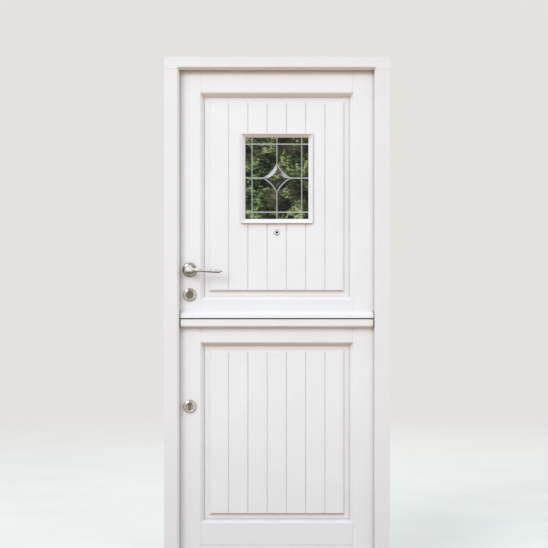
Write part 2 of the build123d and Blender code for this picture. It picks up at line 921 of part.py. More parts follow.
def dead_bolt(key_height):
    mid = key_height + dead_bolt_above_key
    bolt = block(-leaf_half, -leaf_half + dead_bolt_long, leaf_mid - bolt_thick / 2, leaf_mid + bolt_thick / 2,
                 mid - dead_bolt_high / 2, mid + dead_bolt_high / 2)
    bolt = fillet(bolt.edges().filter_by(Axis.Y).group_by(Axis.X)[0], bolt_ease)
    half = slot_post / 2 + bolt_play
    slot_end = post_x + dead_bolt_throw
    slot = block(post_x, slot_end, 0, frame_depth, mid - half, mid + half)
    for x in (post_x, slot_end):
        slot += rod_y(x, mid, 2 * half, 0, frame_depth)
    return bolt - slot


def latch_bolt():
    # the nose is bevelled on its outer side, which meets the keep as the leaf closes
    tip = -leaf_half - latch_throw
    neck_end = forend_back + latch_long
    y0, y1 = leaf_mid - bolt_thick / 2, leaf_mid + bolt_thick / 2
    tail0, tail1 = y0 + latch_tail_inset, y1 - latch_tail_inset
    outline = ((tip, y1), (neck_end, y1), (neck_end, y0), (-leaf_half, y0), (tip, y1 - latch_tip))
    nose = run_z(outline, latch_mid - latch_high / 2, latch_mid + latch_high / 2)
    lug_face = lock_x + follower_tip + latch_play
    lug_back = lug_face + latch_lug
    tail_top = latch_mid + latch_tail_high / 2
    tail = block(neck_end, lug_back, tail0, tail1, latch_mid - latch_tail_high / 2, tail_top)
    lug = block(lug_face, lug_back, tail0, tail1, lever_height + follower_arm * lug_share, tail_top)
    return nose + tail + lug


def lever_follower():
    y0, y1 = leaf_mid - case_thick / 2, leaf_mid + case_thick / 2
    inner0, inner1 = y0 + case_wall + bolt_play, y1 - case_wall - bolt_play
    arm0, arm1 = inner0 + follower_inset, inner1 - follower_inset
    tip = lever_height + follower_arm
    hub = rod_y(lock_x, lever_height, neck_d, y0, y1)
    hub += rod_y(lock_x, lever_height, follower_d, inner0, inner1)
    arm = Polyline((lock_x - follower_root, lever_height), (lock_x + follower_root, lever_height),
                   (lock_x + follower_tip, tip), (lock_x - follower_tip, tip), close=True)
    hub += run_y(make_face(arm), arm0, arm1)
    hub += rod_y(lock_x, tip, 2 * follower_tip, arm0, arm1)
    return hub - spindle_socket(0, frame_depth)


def cylinder_body(key_height):
    y0 = leaf_out - escutcheon_thick
    y1 = leaf_in + escutcheon_thick
    body = profile_run(key_height, 0, y0, y1)
    body -= rod_y(lock_x, key_height, plug_d + 2 * plug_play, y0, y1)
    return body - rod_y(lock_x, key_height, 2 * (cam_reach + cam_play), leaf_mid - cam_slot / 2,
                        leaf_mid + cam_slot / 2)


def key_plug(key_height):
    y0 = leaf_out - escutcheon_thick
    plug = rod_y(lock_x, key_height, plug_d, y0, leaf_mid - cam_wide / 2 - plug_end_gap)
    return plug - block(lock_x - key_slot_wide / 2, lock_x + key_slot_wide / 2, y0, y0 + key_slot_deep,
                        key_height - key_slot_high / 2, key_height + key_slot_high / 2)


def thumb_turn(key_height):
    # inner plug with the cam at one end and the grip at the other
    y0, y1 = leaf_mid - cam_wide / 2, leaf_mid + cam_wide / 2
    grip_foot = leaf_in + escutcheon_thick + turn_gap
    nose = Polyline(
        (-cam_root / 2, 0), (cam_root / 2, 0), (cam_shoulder / 2, -cam_reach + cam_corner),
        (cam_tip / 2, -cam_reach), (-cam_tip / 2, -cam_reach), (-cam_shoulder / 2, -cam_reach + cam_corner),
        close=True,
    )
    turn = rod_y(lock_x, key_height, plug_d, y0, grip_foot)
    turn += rod_y(lock_x, key_height, profile_round_d - 2 * cam_ring_play, y0, y1)
    turn += run_y(Pos(lock_x, key_height) * Rot(0, 0, -cam_angle) * make_face(nose), y0, y1)
    grip = block(lock_x - turn_thick / 2, lock_x + turn_thick / 2, grip_foot, grip_foot + turn_long,
                 key_height - turn_wide / 2, key_height + turn_wide / 2)
    grip = fillet(grip.edges().filter_by(Axis.X), turn_corner)
    return turn + fillet(grip.edges().group_by(Axis.Y)[-1], turn_edge)


def keep_span(bolts):
    low = min(mid - high / 2 for mid, high in bolts)
    top = max(mid + high / 2 for mid, high in bolts)
    return low - keep_margin, top + keep_margin


def keep_seat(bolts):
    return block(-rebate_half - keep_thick, -rebate_half, leaf_mid - forend_wide / 2,
                 leaf_mid + forend_wide / 2, *keep_span(bolts))


def keep(bolts):
    # plate let into the lock jamb, with a hole for each bolt: bolts is a list of (mid, high)
    plate = keep_seat(bolts)
    for mid, high in bolts:
        plate -= bolt_window(mid, high, pocket_play, -rebate_half - keep_thick, -rebate_half)
    return plate


def bolt_pocket(mid, high, throw):
    deep = throw - edge_gap + pocket_floor_gap
    return bolt_window(mid, high, pocket_play, -rebate_half - deep, -rebate_half)


# Round plates and lever handles

def rose():
    y0 = leaf_out - rose_thick
    r = rose_d / 2
    edge = r - rose_edge
    slant = math.sqrt(0.5)
    line = Polyline((0, y0), (edge - rose_ledge, y0), (edge, y0 + rose_step))
    line += ThreePointArc(
        (edge, y0 + rose_step),
        (edge + rose_edge * slant, y0 + rose_edge_deep - (rose_edge_deep - rose_step) * slant),
        (r, y0 + rose_edge_deep),
    )
    line += Polyline((r, y0 + rose_edge_deep), (r, leaf_out), (0, leaf_out), (0, y0))
    plate = turned_y(lock_x, lever_height, line)
    return plate - rod_y(lock_x, lever_height, neck_d + 2 * neck_play, y0, leaf_out)


def escutcheon(key_height):
    # a half-round rim about a dished plate, with the cylinder through it
    y0 = leaf_out - escutcheon_thick
    middle = key_height + (profile_round_d - profile_high) / 2
    r = escutcheon_d / 2
    crest = r - escutcheon_rim / 2
    dish = r - escutcheon_rim
    plate_y = y0 + escutcheon_dish - escutcheon_plate_rise
    rim_foot = y0 + escutcheon_rim / 2
    slant = escutcheon_rim / 2 * math.sqrt(0.5)
    line = Polyline((0, plate_y), (dish - escutcheon_plate_slope, plate_y), (dish, y0 + escutcheon_dish),
                    (crest, y0))
    line += ThreePointArc((crest, y0), (crest + slant, rim_foot - slant), (r, rim_foot))
    line += Polyline((r, rim_foot), (r, leaf_out), (0, leaf_out), (0, plate_y))
    plate = turned_y(lock_x, middle, line)
    return plate - profile_run(key_height, escutcheon_hole_play, y0, leaf_out)


def spindle_socket(y0, y1):
    return block(lock_x - socket_half, lock_x + socket_half, y0, y1,
                 lever_height - socket_half, lever_height + socket_half)


def lever_handle():
    # turned head with the grip going out sideways from it
    arm_y = leaf_out - arm_offset
    neck_end = leaf_out - neck_gap
    collar_back = leaf_out - rose_thick - collar_gap
    collar_front = collar_back - collar_thick
    shoulder = arm_y + head_back
    rim_back = shoulder - 2 * head_ease
    neck, collar, r = neck_d / 2, collar_d / 2, head_d / 2
    ball = (r ** 2 + head_dome ** 2) / (2 * head_dome)
    tilt = math.asin(r / ball) / 2
    crown = arm_y - head_dome
    line = Polyline((0, neck_end), (neck, neck_end), (neck, collar_back), (collar, collar_back),
                    (collar, collar_front))
    line += ThreePointArc((collar, collar_front), (collar - waist, (collar_front + shoulder) / 2),
                          (r - head_ease, shoulder))
    line += Polyline((r - head_ease, shoulder), (r, rim_back), (r, arm_y))
    line += ThreePointArc((r, arm_y), (ball * math.sin(tilt), crown + ball * (1 - math.cos(tilt))), (0, crown))
    line += Polyline((0, crown), (0, neck_end))
    head = turned_y(lock_x, lever_height, line) - spindle_socket(arm_y, leaf_out)
    return head + lever_arm(arm_y)


def lever_arm(arm_y):
    # turned grip in (distance along it, radius): a bead on the neck, a long swell, a ring and a finial
    neck, end, tip = arm_neck_d / 2, arm_end_d / 2, finial_d / 2
    bead_start, bead_end = bead_at - bead_wide / 2, bead_at + bead_wide / 2
    swell_end = lever_reach - finial_long
    ring_end = swell_end + arm_ring
    finial_start = ring_end + arm_ring_step
    swell_mid = ((bead_end + swell_end) / 2, (neck + end) / 2 + arm_swell)
    slant = tip * math.sqrt(0.5)
    line = Polyline((arm_root, 0), (arm_root, neck), (bead_start, neck))
    line += ThreePointArc((bead_start, neck), (bead_at, neck + bead_rise), (bead_end, neck))
    line += ThreePointArc((bead_end, neck), swell_mid, (swell_end, end))
    line += Polyline((swell_end, end), (ring_end, end), (finial_start, tip), (lever_reach - tip, tip))
    line += ThreePointArc((lever_reach - tip, tip), (lever_reach - tip + slant, slant), (lever_reach, 0))
    line += Polyline((lever_reach, 0), (arm_root, 0))
    droop = math.radians(lever_droop)
    along = (math.cos(droop), 0, -math.sin(droop))
    origin = (lock_x, arm_y, lever_height)
    place = Plane(origin=origin, x_dir=along, z_dir=(math.sin(droop), 0, math.cos(droop)))
    return revolve(place * make_face(line), axis=Axis(origin, along))


def lever_spindle():
    side = spindle_side / 2
    reach = arm_offset - spindle_end_gap
    return block(lock_x - side, lock_x + side, leaf_out - reach, leaf_in + reach,
                 lever_height - side, lever_height + side)


# Bolt that links the leaves, standing on the inner face of the lower leaf

def link_plate(z0, z1):
    half = link_plate_wide / 2
    return block(lock_x - half, lock_x + half, leaf_in, leaf_in + link_plate_thick, z0, z1)


def link_staple(z0, z1, bore_play):
    half = link_staple_wide / 2
    staple = block(lock_x - half, lock_x + half, leaf_in + link_plate_thick,
                   link_y + link_bolt_d / 2 + link_staple_wall, z0, z1)
    staple = fillet(staple.edges().filter_by(Axis.Z).group_by(Axis.Y)[-1], link_staple_round)
    return staple - rod_z(lock_x, link_y, link_bolt_d + 2 * bore_play, z0, z1)


def link_bolt_plate():
    plate = link_plate(link_foot, link_top)
    lows = (link_top - link_top_inset - link_staple_thick, link_top - link_middle_drop, link_foot + link_foot_inset)
    for low in lows:
        plate += link_staple(low, low + link_staple_thick, link_play)
    return plate


def link_bolt():
    bolt = rod_z(lock_x, link_y, link_bolt_d, link_top - link_bolt_long, link_top)
    bolt = chamfer(bolt.edges().group_by(Axis.Z)[-1], link_bolt_ease)
    knob_z = link_foot + link_foot_inset + link_staple_thick + link_knob_rise
    knob_end = link_y + link_knob_out
    knob_back = knob_end - link_knob_thick
    stem = rod_y(lock_x, knob_z, link_stem_d, link_y, knob_back)
    knob = rod_y(lock_x, knob_z, link_knob_d, knob_back, knob_end)
    return bolt + stem + fillet(knob.edges().filter_by(GeomType.CIRCLE), link_knob_round)


def link_keeper():
    low = upper_low + link_keeper_lift
    top = link_top + link_throw + link_keeper_margin
    return link_plate(low, top) + link_staple(low + link_keeper_inset, top - link_keeper_inset, link_keeper_play)


# The pieces by body

def frame_pieces():
    head, lock_jamb, hinge_jamb = head_and_jambs()
    for bolts in (upper_bolts, lower_bolts):
        lock_jamb -= keep_seat(bolts)
    for mid in (upper_bolt_mid, lower_bolt_mid):
        lock_jamb -= bolt_pocket(mid, dead_bolt_high, dead_bolt_throw)
    lock_jamb -= bolt_pocket(latch_mid, latch_high, latch_throw)
    hinge_heights = lower_hinges + upper_hinges
    hinge_jamb, flaps, screws = hinged(hinge_jamb, hinge_heights, True)
    return {
        "head": head,
        "lock_jamb": lock_jamb,
        "hinge_jamb": hinge_jamb,
        "sill": sill(),
        "threshold_bar": threshold_bar(),
        "threshold_seal": threshold_seal(),
        "frame_seal": frame_seal(),
        "frame_hinge_flaps": flaps,
        "frame_hinge_screws": screws,
        "hinge_pins": group(hinge_pin(z) for z in hinge_heights),
        "upper_keep": keep(upper_bolts),
        "lower_keep": keep(lower_bolts),
    }


def upper_leaf_pieces():
    rails = [(upper_open[1], leaf_top), (upper_low, upper_open[0])]
    (lock_stile, hinge_stile), (top_rail, meeting_rail) = leaf_joinery(upper_low, leaf_top, upper_open, rails)
    seal = meeting_seal()
    lock_stile -= seal
    lock_stile -= case_mortise(*upper_case, upper_forend_high)
    lock_stile -= rod_y(lock_x, lever_height, neck_d + 2 * neck_bore_play, leaf_out, leaf_in)
    lock_stile -= profile_run(upper_key_height, cylinder_hole_play, leaf_out, leaf_in)
    hinge_stile, flaps, screws = hinged(hinge_stile - seal, upper_hinges, False)
    barrel, lens, sleeve = viewer_pieces()
    return {
        "upper_lock_stile": lock_stile,
        "upper_hinge_stile": hinge_stile,
        "upper_hinge_flaps": flaps,
        "upper_hinge_screws": screws,
        "upper_top_rail": top_rail,
        "upper_meeting_rail": meeting_rail - seal,
        "upper_panel": panel(upper_open) - window_hole() - viewer_hole(),
        "meeting_seal": seal,
        "drip_bar": drip_bar(),
        "window_surround": group(window_ring(field_out, field_out - surround_rise, pane_out)),
        "window_beads": group(window_ring(field_in, field_in + surround_rise, pane_in)),
        "glass_panes": group(glass_panes()),
        "glass_spacer": glass_spacer(),
        "lead_strips": lead_strips(),
        "bevelled_star": bevelled_star(),
        "viewer_barrel": barrel,
        "viewer_lens": lens,
        "viewer_sleeve": sleeve,
        "link_keeper": link_keeper(),
    }


def lever_and_lock_pieces():
    plate = rose()
    key_plate = escutcheon(upper_key_height)
    outer_lever = lever_handle()
    return {
        "lever_roses": group([plate, mirrored_in(plate)]),
        "upper_escutcheons": group([key_plate, mirrored_in(key_plate)]),
        "upper_lock_case": lock_case(*upper_case, upper_forend_high, upper_key_height, True),
        "upper_cylinder": cylinder_body(upper_key_height),
        "upper_key_plug": key_plug(upper_key_height),
        "upper_thumb_turn": thumb_turn(upper_key_height),
        "upper_dead_bolt": dead_bolt(upper_key_height),
        "latch_bolt": latch_bolt(),
        "lever_follower": lever_follower(),
        "lever_spindle": lever_spindle(),
        "outer_lever": outer_lever,
        "inner_lever": mirrored_in(outer_lever),
    }


def lower_leaf_pieces():
    rails = [(lower_open[1], lower_high), (foot_top, lower_open[0]), (leaf_foot, foot_top)]
    (lock_stile, hinge_stile), (top_rail, bottom_rail, foot_rail) = leaf_joinery(
        leaf_foot, lower_high, lower_open, rails)
    lock_stile -= case_mortise(*lower_case, lower_forend_high)
    lock_stile -= profile_run(lower_key_height, cylinder_hole_play, leaf_out, leaf_in)
    hinge_stile, flaps, screws = hinged(hinge_stile, lower_hinges, False)
    key_plate = escutcheon(lower_key_height)
    return {
        "lower_lock_stile": lock_stile,
        "lower_hinge_stile": hinge_stile,
        "lower_hinge_flaps": flaps,
        "lower_hinge_screws": screws,
        "lower_top_rail": top_rail,
        "lower_bottom_rail": bottom_rail,
        "lower_foot_rail": foot_rail,
        "lower_panel": panel(lower_open),
        "nosing": nosing(),
        "lower_lock_case": lock_case(*lower_case, lower_forend_high, lower_key_height, False),
        "lower_cylinder": cylinder_body(lower_key_height),
        "lower_escutcheons": group([key_plate, mirrored_in(key_plate)]),
        "lower_key_plug": key_plug(lower_key_height),
        "lower_thumb_turn": thumb_turn(lower_key_height),
        "lower_dead_bolt": dead_bolt(lower_key_height),
        "link_bolt_plate": link_bolt_plate(),
        "link_bolt": link_bolt(),
    }


os.makedirs("parts", exist_ok=True)
for pieces in (frame_pieces(), upper_leaf_pieces(), lever_and_lock_pieces(), lower_leaf_pieces()):
    for name, shape in pieces.items():
        export_step(shape, f"parts/{name}.step")
        print(name, len(shape.solids()))
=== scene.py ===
import bpy
import bmesh
import math
from mathutils import Matrix, Vector


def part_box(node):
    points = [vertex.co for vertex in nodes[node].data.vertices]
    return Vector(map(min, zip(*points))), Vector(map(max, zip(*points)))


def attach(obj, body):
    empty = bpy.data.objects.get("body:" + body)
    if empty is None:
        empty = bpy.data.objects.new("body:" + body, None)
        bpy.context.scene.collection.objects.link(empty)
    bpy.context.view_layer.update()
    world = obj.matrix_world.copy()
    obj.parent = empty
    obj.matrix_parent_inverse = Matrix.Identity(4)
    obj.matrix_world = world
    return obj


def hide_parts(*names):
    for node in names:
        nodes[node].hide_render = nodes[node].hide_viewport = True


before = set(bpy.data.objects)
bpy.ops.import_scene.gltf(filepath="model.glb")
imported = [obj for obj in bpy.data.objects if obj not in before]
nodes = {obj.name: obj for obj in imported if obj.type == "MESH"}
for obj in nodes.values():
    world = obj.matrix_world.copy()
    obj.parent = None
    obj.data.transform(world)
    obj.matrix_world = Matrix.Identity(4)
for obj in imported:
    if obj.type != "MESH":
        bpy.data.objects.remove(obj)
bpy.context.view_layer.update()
mm = 0.001

# everything below is in metres, in the frame's own axes: X right from outside, Y into the building, Z up

# materials


def linearColour(hexText):
    # sRGB hex to linear, with an alpha of 1
    parts = [int(hexText[i:i + 2], 16) / 255 for i in (1, 3, 5)]
    return [p / 12.92 if p <= 0.04045 else ((p + 0.055) / 1.055) ** 2.4 for p in parts] + [1.0]


def addNode(tree, kind, values):
    # nodes and outputs among the values are linked, and the rest is set: sockets, a ramp's stops, properties
    node = tree.nodes.new(kind)
    for name, value in values.items():
        if isinstance(value, bpy.types.Node):
            value = value.outputs[0]
        if isinstance(value, bpy.types.NodeSocket):
            tree.links.new(value, node.inputs[name])
        elif name == "stops":
            while len(node.color_ramp.elements) < len(value):
                node.color_ramp.elements.new(0.5)
            for element, (at, hexText) in zip(node.color_ramp.elements, value):
                element.position = at
                element.color = linearColour(hexText)
        elif isinstance(name, int) or name in node.inputs:
            node.inputs[name].default_value = linearColour(value) if isinstance(value, str) else value
        else:
            setattr(node, name, value)
    return node


def newMaterial(name):
    material = bpy.data.materials.new(name)
    material.use_nodes = True
    tree = material.node_tree
    tree.nodes.clear()
    place = addNode(tree, "ShaderNodeTexCoord", {}).outputs["Object"]
    return material, tree, place


def blendAlong(tree, first, second, source, span, most=1.0, share=None):
    # one colour over another: span is the source's value where it begins and where it is at its most
    amount = addNode(tree, "ShaderNodeMapRange",
                     {"Value": source, "From Min": span[0], "From Max": span[1], "To Max": most})
    if share is not None:
        amount = addNode(tree, "ShaderNodeMath", {"operation": "MULTIPLY", 0: amount, 1: share})
    return addNode(tree, "ShaderNodeMix", {"data_type": "RGBA", 0: amount, 6: first, 7: second}).outputs[2]


def grainNoise(tree, place, grain, across, along, detail=3.0, roughness=0.55):
    # noise that is drawn out along one axis: across and along are the sizes of its marks
    scale = [1 / across] * 3
    scale["XYZ".index(grain)] = 1 / along
    stretched = addNode(tree, "ShaderNodeMapping", {"Scale": scale, "Vector": place})
    return addNode(tree, "ShaderNodeTexNoise",
                   {"Scale": 1.0, "Detail": detail, "Roughness": roughness, "Vector": stretched})


paintedTimber = {
    # one white paint: the frame's coat is darker as painted shade, the moulding's is lighter as painted light
    "coats": {"Frame": "#eae8e7", "Leaf": "#f0efef", "Panel": "#f0efef", "Moulding": "#f2f1f1"},
    "thin": "#d8d6d4",           # the undercoat greys the thinner patches
    "thinSpan": (0.65, 0.35),    # values of the patches' noise where thinness begins and is at its most
    "thinMost": 0.12,
    "patchSize": 160 * mm,
    "dust": "#a3784f",           # painted shade, warm brown: in quirks, grooves and corners, under ledges and on slopes that face the ground
    "nookShadeReach": 10 * mm,
    "nookShadeOpen": (0.9, 0.3),      # how open a spot is where the painted shade begins, and where there is most
    "nookShadeMost": 0.15,
    "soot": "#33261c",           # painted shade, darkest, deep in the gaps
    "gapShadeOpen": (0.3, 0.06),
    "gapShadeMost": 0.7,
    "ledgeShadowReach": 28 * mm,     # painted shadow where a ledge above hides the sky
    "ledgeShadowOpen": (0.8, 0.2),
    "ledgeShadowMost": 0.5,
    "skyLean": 1.2,              # how far the search for such a ledge leans upwards
    "slopeTurn": (-0.15, -0.6),  # the normal's Z over which slopes that face the ground get painted shade
    "slopeShadeMost": 0.3,
    "levelTurn": (-0.95, -0.8),  # and over which level undersides turn into slopes
    "levelShare": 0.5,           # level undersides keep this much of the ledge's painted shadow, none of the slopes' painted shade
    "lowGrey": "#9a9796",         # the paint greys towards the bottom
    "lowGreyHeights": (0.75, 0.1),   # where it begins, coming down, and where it is at its most
    "lowGreyMost": 0.16,
    "furrowWidth": 1.6 * mm,     # the grain shows through the paint as furrows this far apart
    "furrowLength": 90 * mm,
    "furrowDepth": 0.06 * mm,
    "peelSize": 2.2 * mm,        # fine orange peel left by the spray gun
    "peelDepth": 0.02 * mm,
    "roughness": 0.34,
    "sheenSpread": 0.05,
}


def sprayedPaint(coat, grain, look=paintedTimber):
    # satin paint sprayed on planed timber: faint furrows and orange peel break up its soft sheen
    material, tree, place = newMaterial(f"sprayedPaintOn{coat}{grain}")
    furrows = grainNoise(tree, place, grain, look["furrowWidth"], look["furrowLength"])
    patches = addNode(tree, "ShaderNodeTexNoise",
                      {"Scale": 1 / look["patchSize"], "Detail": 4.0, "Vector": place})
    peel = addNode(tree, "ShaderNodeTexNoise",
                   {"Scale": 1 / look["peelSize"], "Detail": 1.0, "Vector": place})
    height = addNode(tree, "ShaderNodeSeparateXYZ", {"Vector": place}).outputs["Z"]
    outwards = addNode(tree, "ShaderNodeNewGeometry", {}).outputs["Normal"]
    facing = addNode(tree, "ShaderNodeSeparateXYZ", {"Vector": outwards}).outputs["Z"]
    leaning = addNode(tree, "ShaderNodeVectorMath",
                      {"operation": "ADD", 0: outwards, 1: (0, 0, look["skyLean"])})
    skywards = addNode(tree, "ShaderNodeVectorMath", {"operation": "NORMALIZE", 0: leaning})
    skyOpen = addNode(tree, "ShaderNodeAmbientOcclusion",
                      {"Distance": look["ledgeShadowReach"], "samples": 8, "Normal": skywards}).outputs["AO"]
    nearOpen = addNode(tree, "ShaderNodeAmbientOcclusion",
                       {"Distance": look["nookShadeReach"], "samples": 8}).outputs["AO"]
    level, slope = look["levelTurn"]
    steep = addNode(tree, "ShaderNodeMapRange", {"Value": facing, "From Min": level, "From Max": slope})
    kept = addNode(tree, "ShaderNodeMapRange",
                   {"Value": facing, "From Min": level, "From Max": slope, "To Min": look["levelShare"]})
    colour = blendAlong(tree, look["coats"][coat], look["thin"], patches, look["thinSpan"], look["thinMost"])
    # greyer towards the bottom
    colour = blendAlong(tree, colour, look["lowGrey"], height, look["lowGreyHeights"], look["lowGreyMost"])
    # painted shadow under ledges, less of it on level undersides
    colour = blendAlong(tree, colour, look["dust"], skyOpen, look["ledgeShadowOpen"], look["ledgeShadowMost"], kept)
    # painted shade on slopes that face the ground
    colour = blendAlong(tree, colour, look["dust"], facing, look["slopeTurn"], look["slopeShadeMost"], steep)
    # painted shade in corners, quirks and grooves
    colour = blendAlong(tree, colour, look["dust"], nearOpen, look["nookShadeOpen"], look["nookShadeMost"])
    # painted shade, darkest, deep in the gaps
    colour = blendAlong(tree, colour, look["soot"], nearOpen, look["gapShadeOpen"], look["gapShadeMost"])
    sheen = addNode(tree, "ShaderNodeMapRange",
                    {"Value": furrows, "To Min": look["roughness"] - look["sheenSpread"],
                     "To Max": look["roughness"] + look["sheenSpread"]})
    ridges = addNode(tree, "ShaderNodeBump",
                     {"Strength": 0.5, "Distance": look["furrowDepth"], "Height": furrows})
    skin = addNode(tree, "ShaderNodeBump",
                   {"Strength": 0.4, "Distance": look["peelDepth"], "Height": peel, "Normal": ridges})
    shader = addNode(tree, "ShaderNodeBsdfPrincipled",
                     {"IOR": 1.48, "Base Color": colour, "Roughness": sheen, "Normal": skin})
    addNode(tree, "ShaderNodeOutputMaterial", {"Surface": shader})
    return material


chromedBrass = {
    "metal": "#ffffff",
    "metalDeep": "#e9e6e1",
    "grime": "#463e34",          # painted shade in corners
    "hollowShadeReach": 4 * mm,
    "hollowShadeOpen": (0.85, 0.25),   # how open a spot is where the painted shade begins, and where there is most
    "hollowShadeMost": 0.8,
    "underside": "#5d5349",      # painted reflection of the dark ground on the underside
    "undersideTurn": (-0.15, -0.6),   # the normal's Z over which a surface turns under
    "undersideMost": 0.9,
    "roughness": 0.08,
    "smear": 0.14,               # fingers dull the polish in patches
    "smearSize": 13 * mm,
    "scratchSize": 1.0 * mm,
    "scratchDepth": 0.02 * mm,
}
# the roses' chrome is painted darker, a painted reflection of their dark surroundings
darkMirrorPlate = dict(chromedBrass, metal="#c0bab1", metalDeep="#8a8278")
# painted reflection: a dark dish round the key's axis and a dark edge by the paint
dishedPlate = dict(chromedBrass, metal="#f3f1ed", metalDeep="#c6c0b7",
                   dish="#807a66", dishEdge=(17.5 * mm, 15.5 * mm), dishMost=0.9,
                   rim="#7d7468", rimEdge=(22.5 * mm, 24.5 * mm), rimMost=0.85)
paleDishPlate = dict(dishedPlate, dish="#aea698", rim="#a29a8e")   # the lower escutcheon's painted dark dish and edge are lighter


def polishedChrome(name, look=chromedBrass, axisAt=None):
    # chrome over turned and polished brass: near mirror, dulled in patches by handling
    material, tree, place = newMaterial(name)
    smears = addNode(tree, "ShaderNodeTexNoise",
                     {"Scale": 1 / look["smearSize"], "Detail": 5.0, "Vector": place})
    scratches = addNode(tree, "ShaderNodeTexNoise",
                        {"Scale": 1 / look["scratchSize"], "Detail": 2.0, "Vector": place})
    colour = addNode(tree, "ShaderNodeValToRGB",
                     {"Fac": smears, "stops": [(0.36, look["metalDeep"]), (0.6, look["metal"])]})
    if axisAt:
        # painted reflection: the dish round the key's axis and the edge by the paint are painted darker than
        # the ring between them
        fromAxis = addNode(tree, "ShaderNodeVectorMath", {"operation": "SUBTRACT", 0: place, 1: axisAt})
        flat = addNode(tree, "ShaderNodeVectorMath", {"operation": "MULTIPLY", 0: fromAxis, 1: (1, 0, 1)})
        radius = addNode(tree, "ShaderNodeVectorMath", {"operation": "LENGTH", 0: flat}).outputs["Value"]
        colour = blendAlong(tree, colour, look["dish"], radius, look["dishEdge"], look["dishMost"])
        colour = blendAlong(tree, colour, look["rim"], radius, look["rimEdge"], look["rimMost"])
    # painted reflection of the dark ground on surfaces that face down
    normal = addNode(tree, "ShaderNodeTexCoord", {}).outputs["Normal"]
    facing = addNode(tree, "ShaderNodeSeparateXYZ", {"Vector": normal}).outputs["Z"]
    colour = blendAlong(tree, colour, look["underside"], facing, look["undersideTurn"], look["undersideMost"])
    # painted shade in corners
    corner = addNode(tree, "ShaderNodeAmbientOcclusion",
                     {"Distance": look["hollowShadeReach"], "samples": 8}).outputs["AO"]
    colour = blendAlong(tree, colour, look["grime"], corner, look["hollowShadeOpen"], look["hollowShadeMost"])
    polish = addNode(tree, "ShaderNodeMapRange",
                     {"Value": smears, "From Min": 0.35, "From Max": 0.75,
                      "To Min": look["roughness"], "To Max": look["roughness"] + look["smear"]})
    relief = addNode(tree, "ShaderNodeBump",
                     {"Strength": 0.15, "Distance": look["scratchDepth"], "Height": scratches})
    shader = addNode(tree, "ShaderNodeBsdfPrincipled",
                     {"Metallic": 1.0, "Base Color": colour, "Roughness": polish, "Normal": relief})
    addNode(tree, "ShaderNodeOutputMaterial", {"Surface": shader})
    return material


satinSteel = {"metal": "#b4b3b0", "metalDeep": "#96948f", "roughness": 0.3, "lineWidth": 0.4 * mm}
nickelPlate = {"metal": "#9c9277", "metalDeep": "#6f6650", "roughness": 0.27, "lineWidth": 0.5 * mm}
millAluminium = {"metal": "#c4c5c6", "metalDeep": "#aeb0b1", "roughness": 0.34, "lineWidth": 0.8 * mm}
plainSteel = {"metal": "#a5a39e", "metalDeep": "#7f7c76", "roughness": 0.36, "lineWidth": 0.3 * mm}
brushedLines = {
    "stretch": 60,               # a line's length over its width
    "brighter": 0.08,            # how far the lines' roughness goes below their metal's, and above it
    "duller": 0.1,
    "depth": 0.03 * mm,
}


def brushedMetal(name, grain, look, marks=brushedLines):
    # linished or extruded metal: fine parallel lines that stretch the highlight across them
    material, tree, place = newMaterial(name)
    wide = look["lineWidth"]
    lines = grainNoise(tree, place, grain, wide, marks["stretch"] * wide, detail=4.0, roughness=0.6)
    colour = addNode(tree, "ShaderNodeValToRGB",
                     {"Fac": lines, "stops": [(0.3, look["metalDeep"]), (0.7, look["metal"])]})
    polish = addNode(tree, "ShaderNodeMapRange",
                     {"Value": lines, "To Min": look["roughness"] - marks["brighter"],
                      "To Max": look["roughness"] + marks["duller"]})
    relief = addNode(tree, "ShaderNodeBump", {"Strength": 0.25, "Distance": marks["depth"], "Height": lines})
    shader = addNode(tree, "ShaderNodeBsdfPrincipled",
                     {"Metallic": 1.0, "Base Color": colour, "Roughness": polish, "Normal": relief})
    addNode(tree, "ShaderNodeOutputMaterial", {"Surface": shader})
    return material


sealRubber = {"body": "#1c1c1d", "bloom": "#2c2c2e", "roughness": 0.62, "bloomSize": 11 * mm,
              "bloomDepth": 0.05 * mm}


def extrudedRubber(name, look=sealRubber):
    # black extruded rubber: matt, with a faint grey bloom
    material, tree, place = newMaterial(name)
    bloom = addNode(tree, "ShaderNodeTexNoise",
                    {"Scale": 1 / look["bloomSize"], "Detail": 5.0, "Vector": place})
    colour = addNode(tree, "ShaderNodeValToRGB",
                     {"Fac": bloom, "stops": [(0.35, look["body"]), (0.75, look["bloom"])]})
    relief = addNode(tree, "ShaderNodeBump",
                     {"Strength": 0.2, "Distance": look["bloomDepth"], "Height": bloom})
    shader = addNode(tree, "ShaderNodeBsdfPrincipled",
                     {"Roughness": look["roughness"], "IOR": 1.52, "Base Color": colour, "Normal": relief})
    addNode(tree, "ShaderNodeOutputMaterial", {"Surface": shader})
    return material


leadStrip = {
    "metal": "#8b9387",
    "bright": "#b3b9ad",
    "rubSize": 6 * mm,
    "rubDepth": 0.2 * mm,
    "paintedTopLight": "#f6f7f4",         # painted light: the upper side is brighter, as it faces the sky
    "topLightTurn": (0.05, 0.5),   # the normal's Z over which a surface turns up
    "topLightMost": 0.9,
    "roughness": 0.45,
}


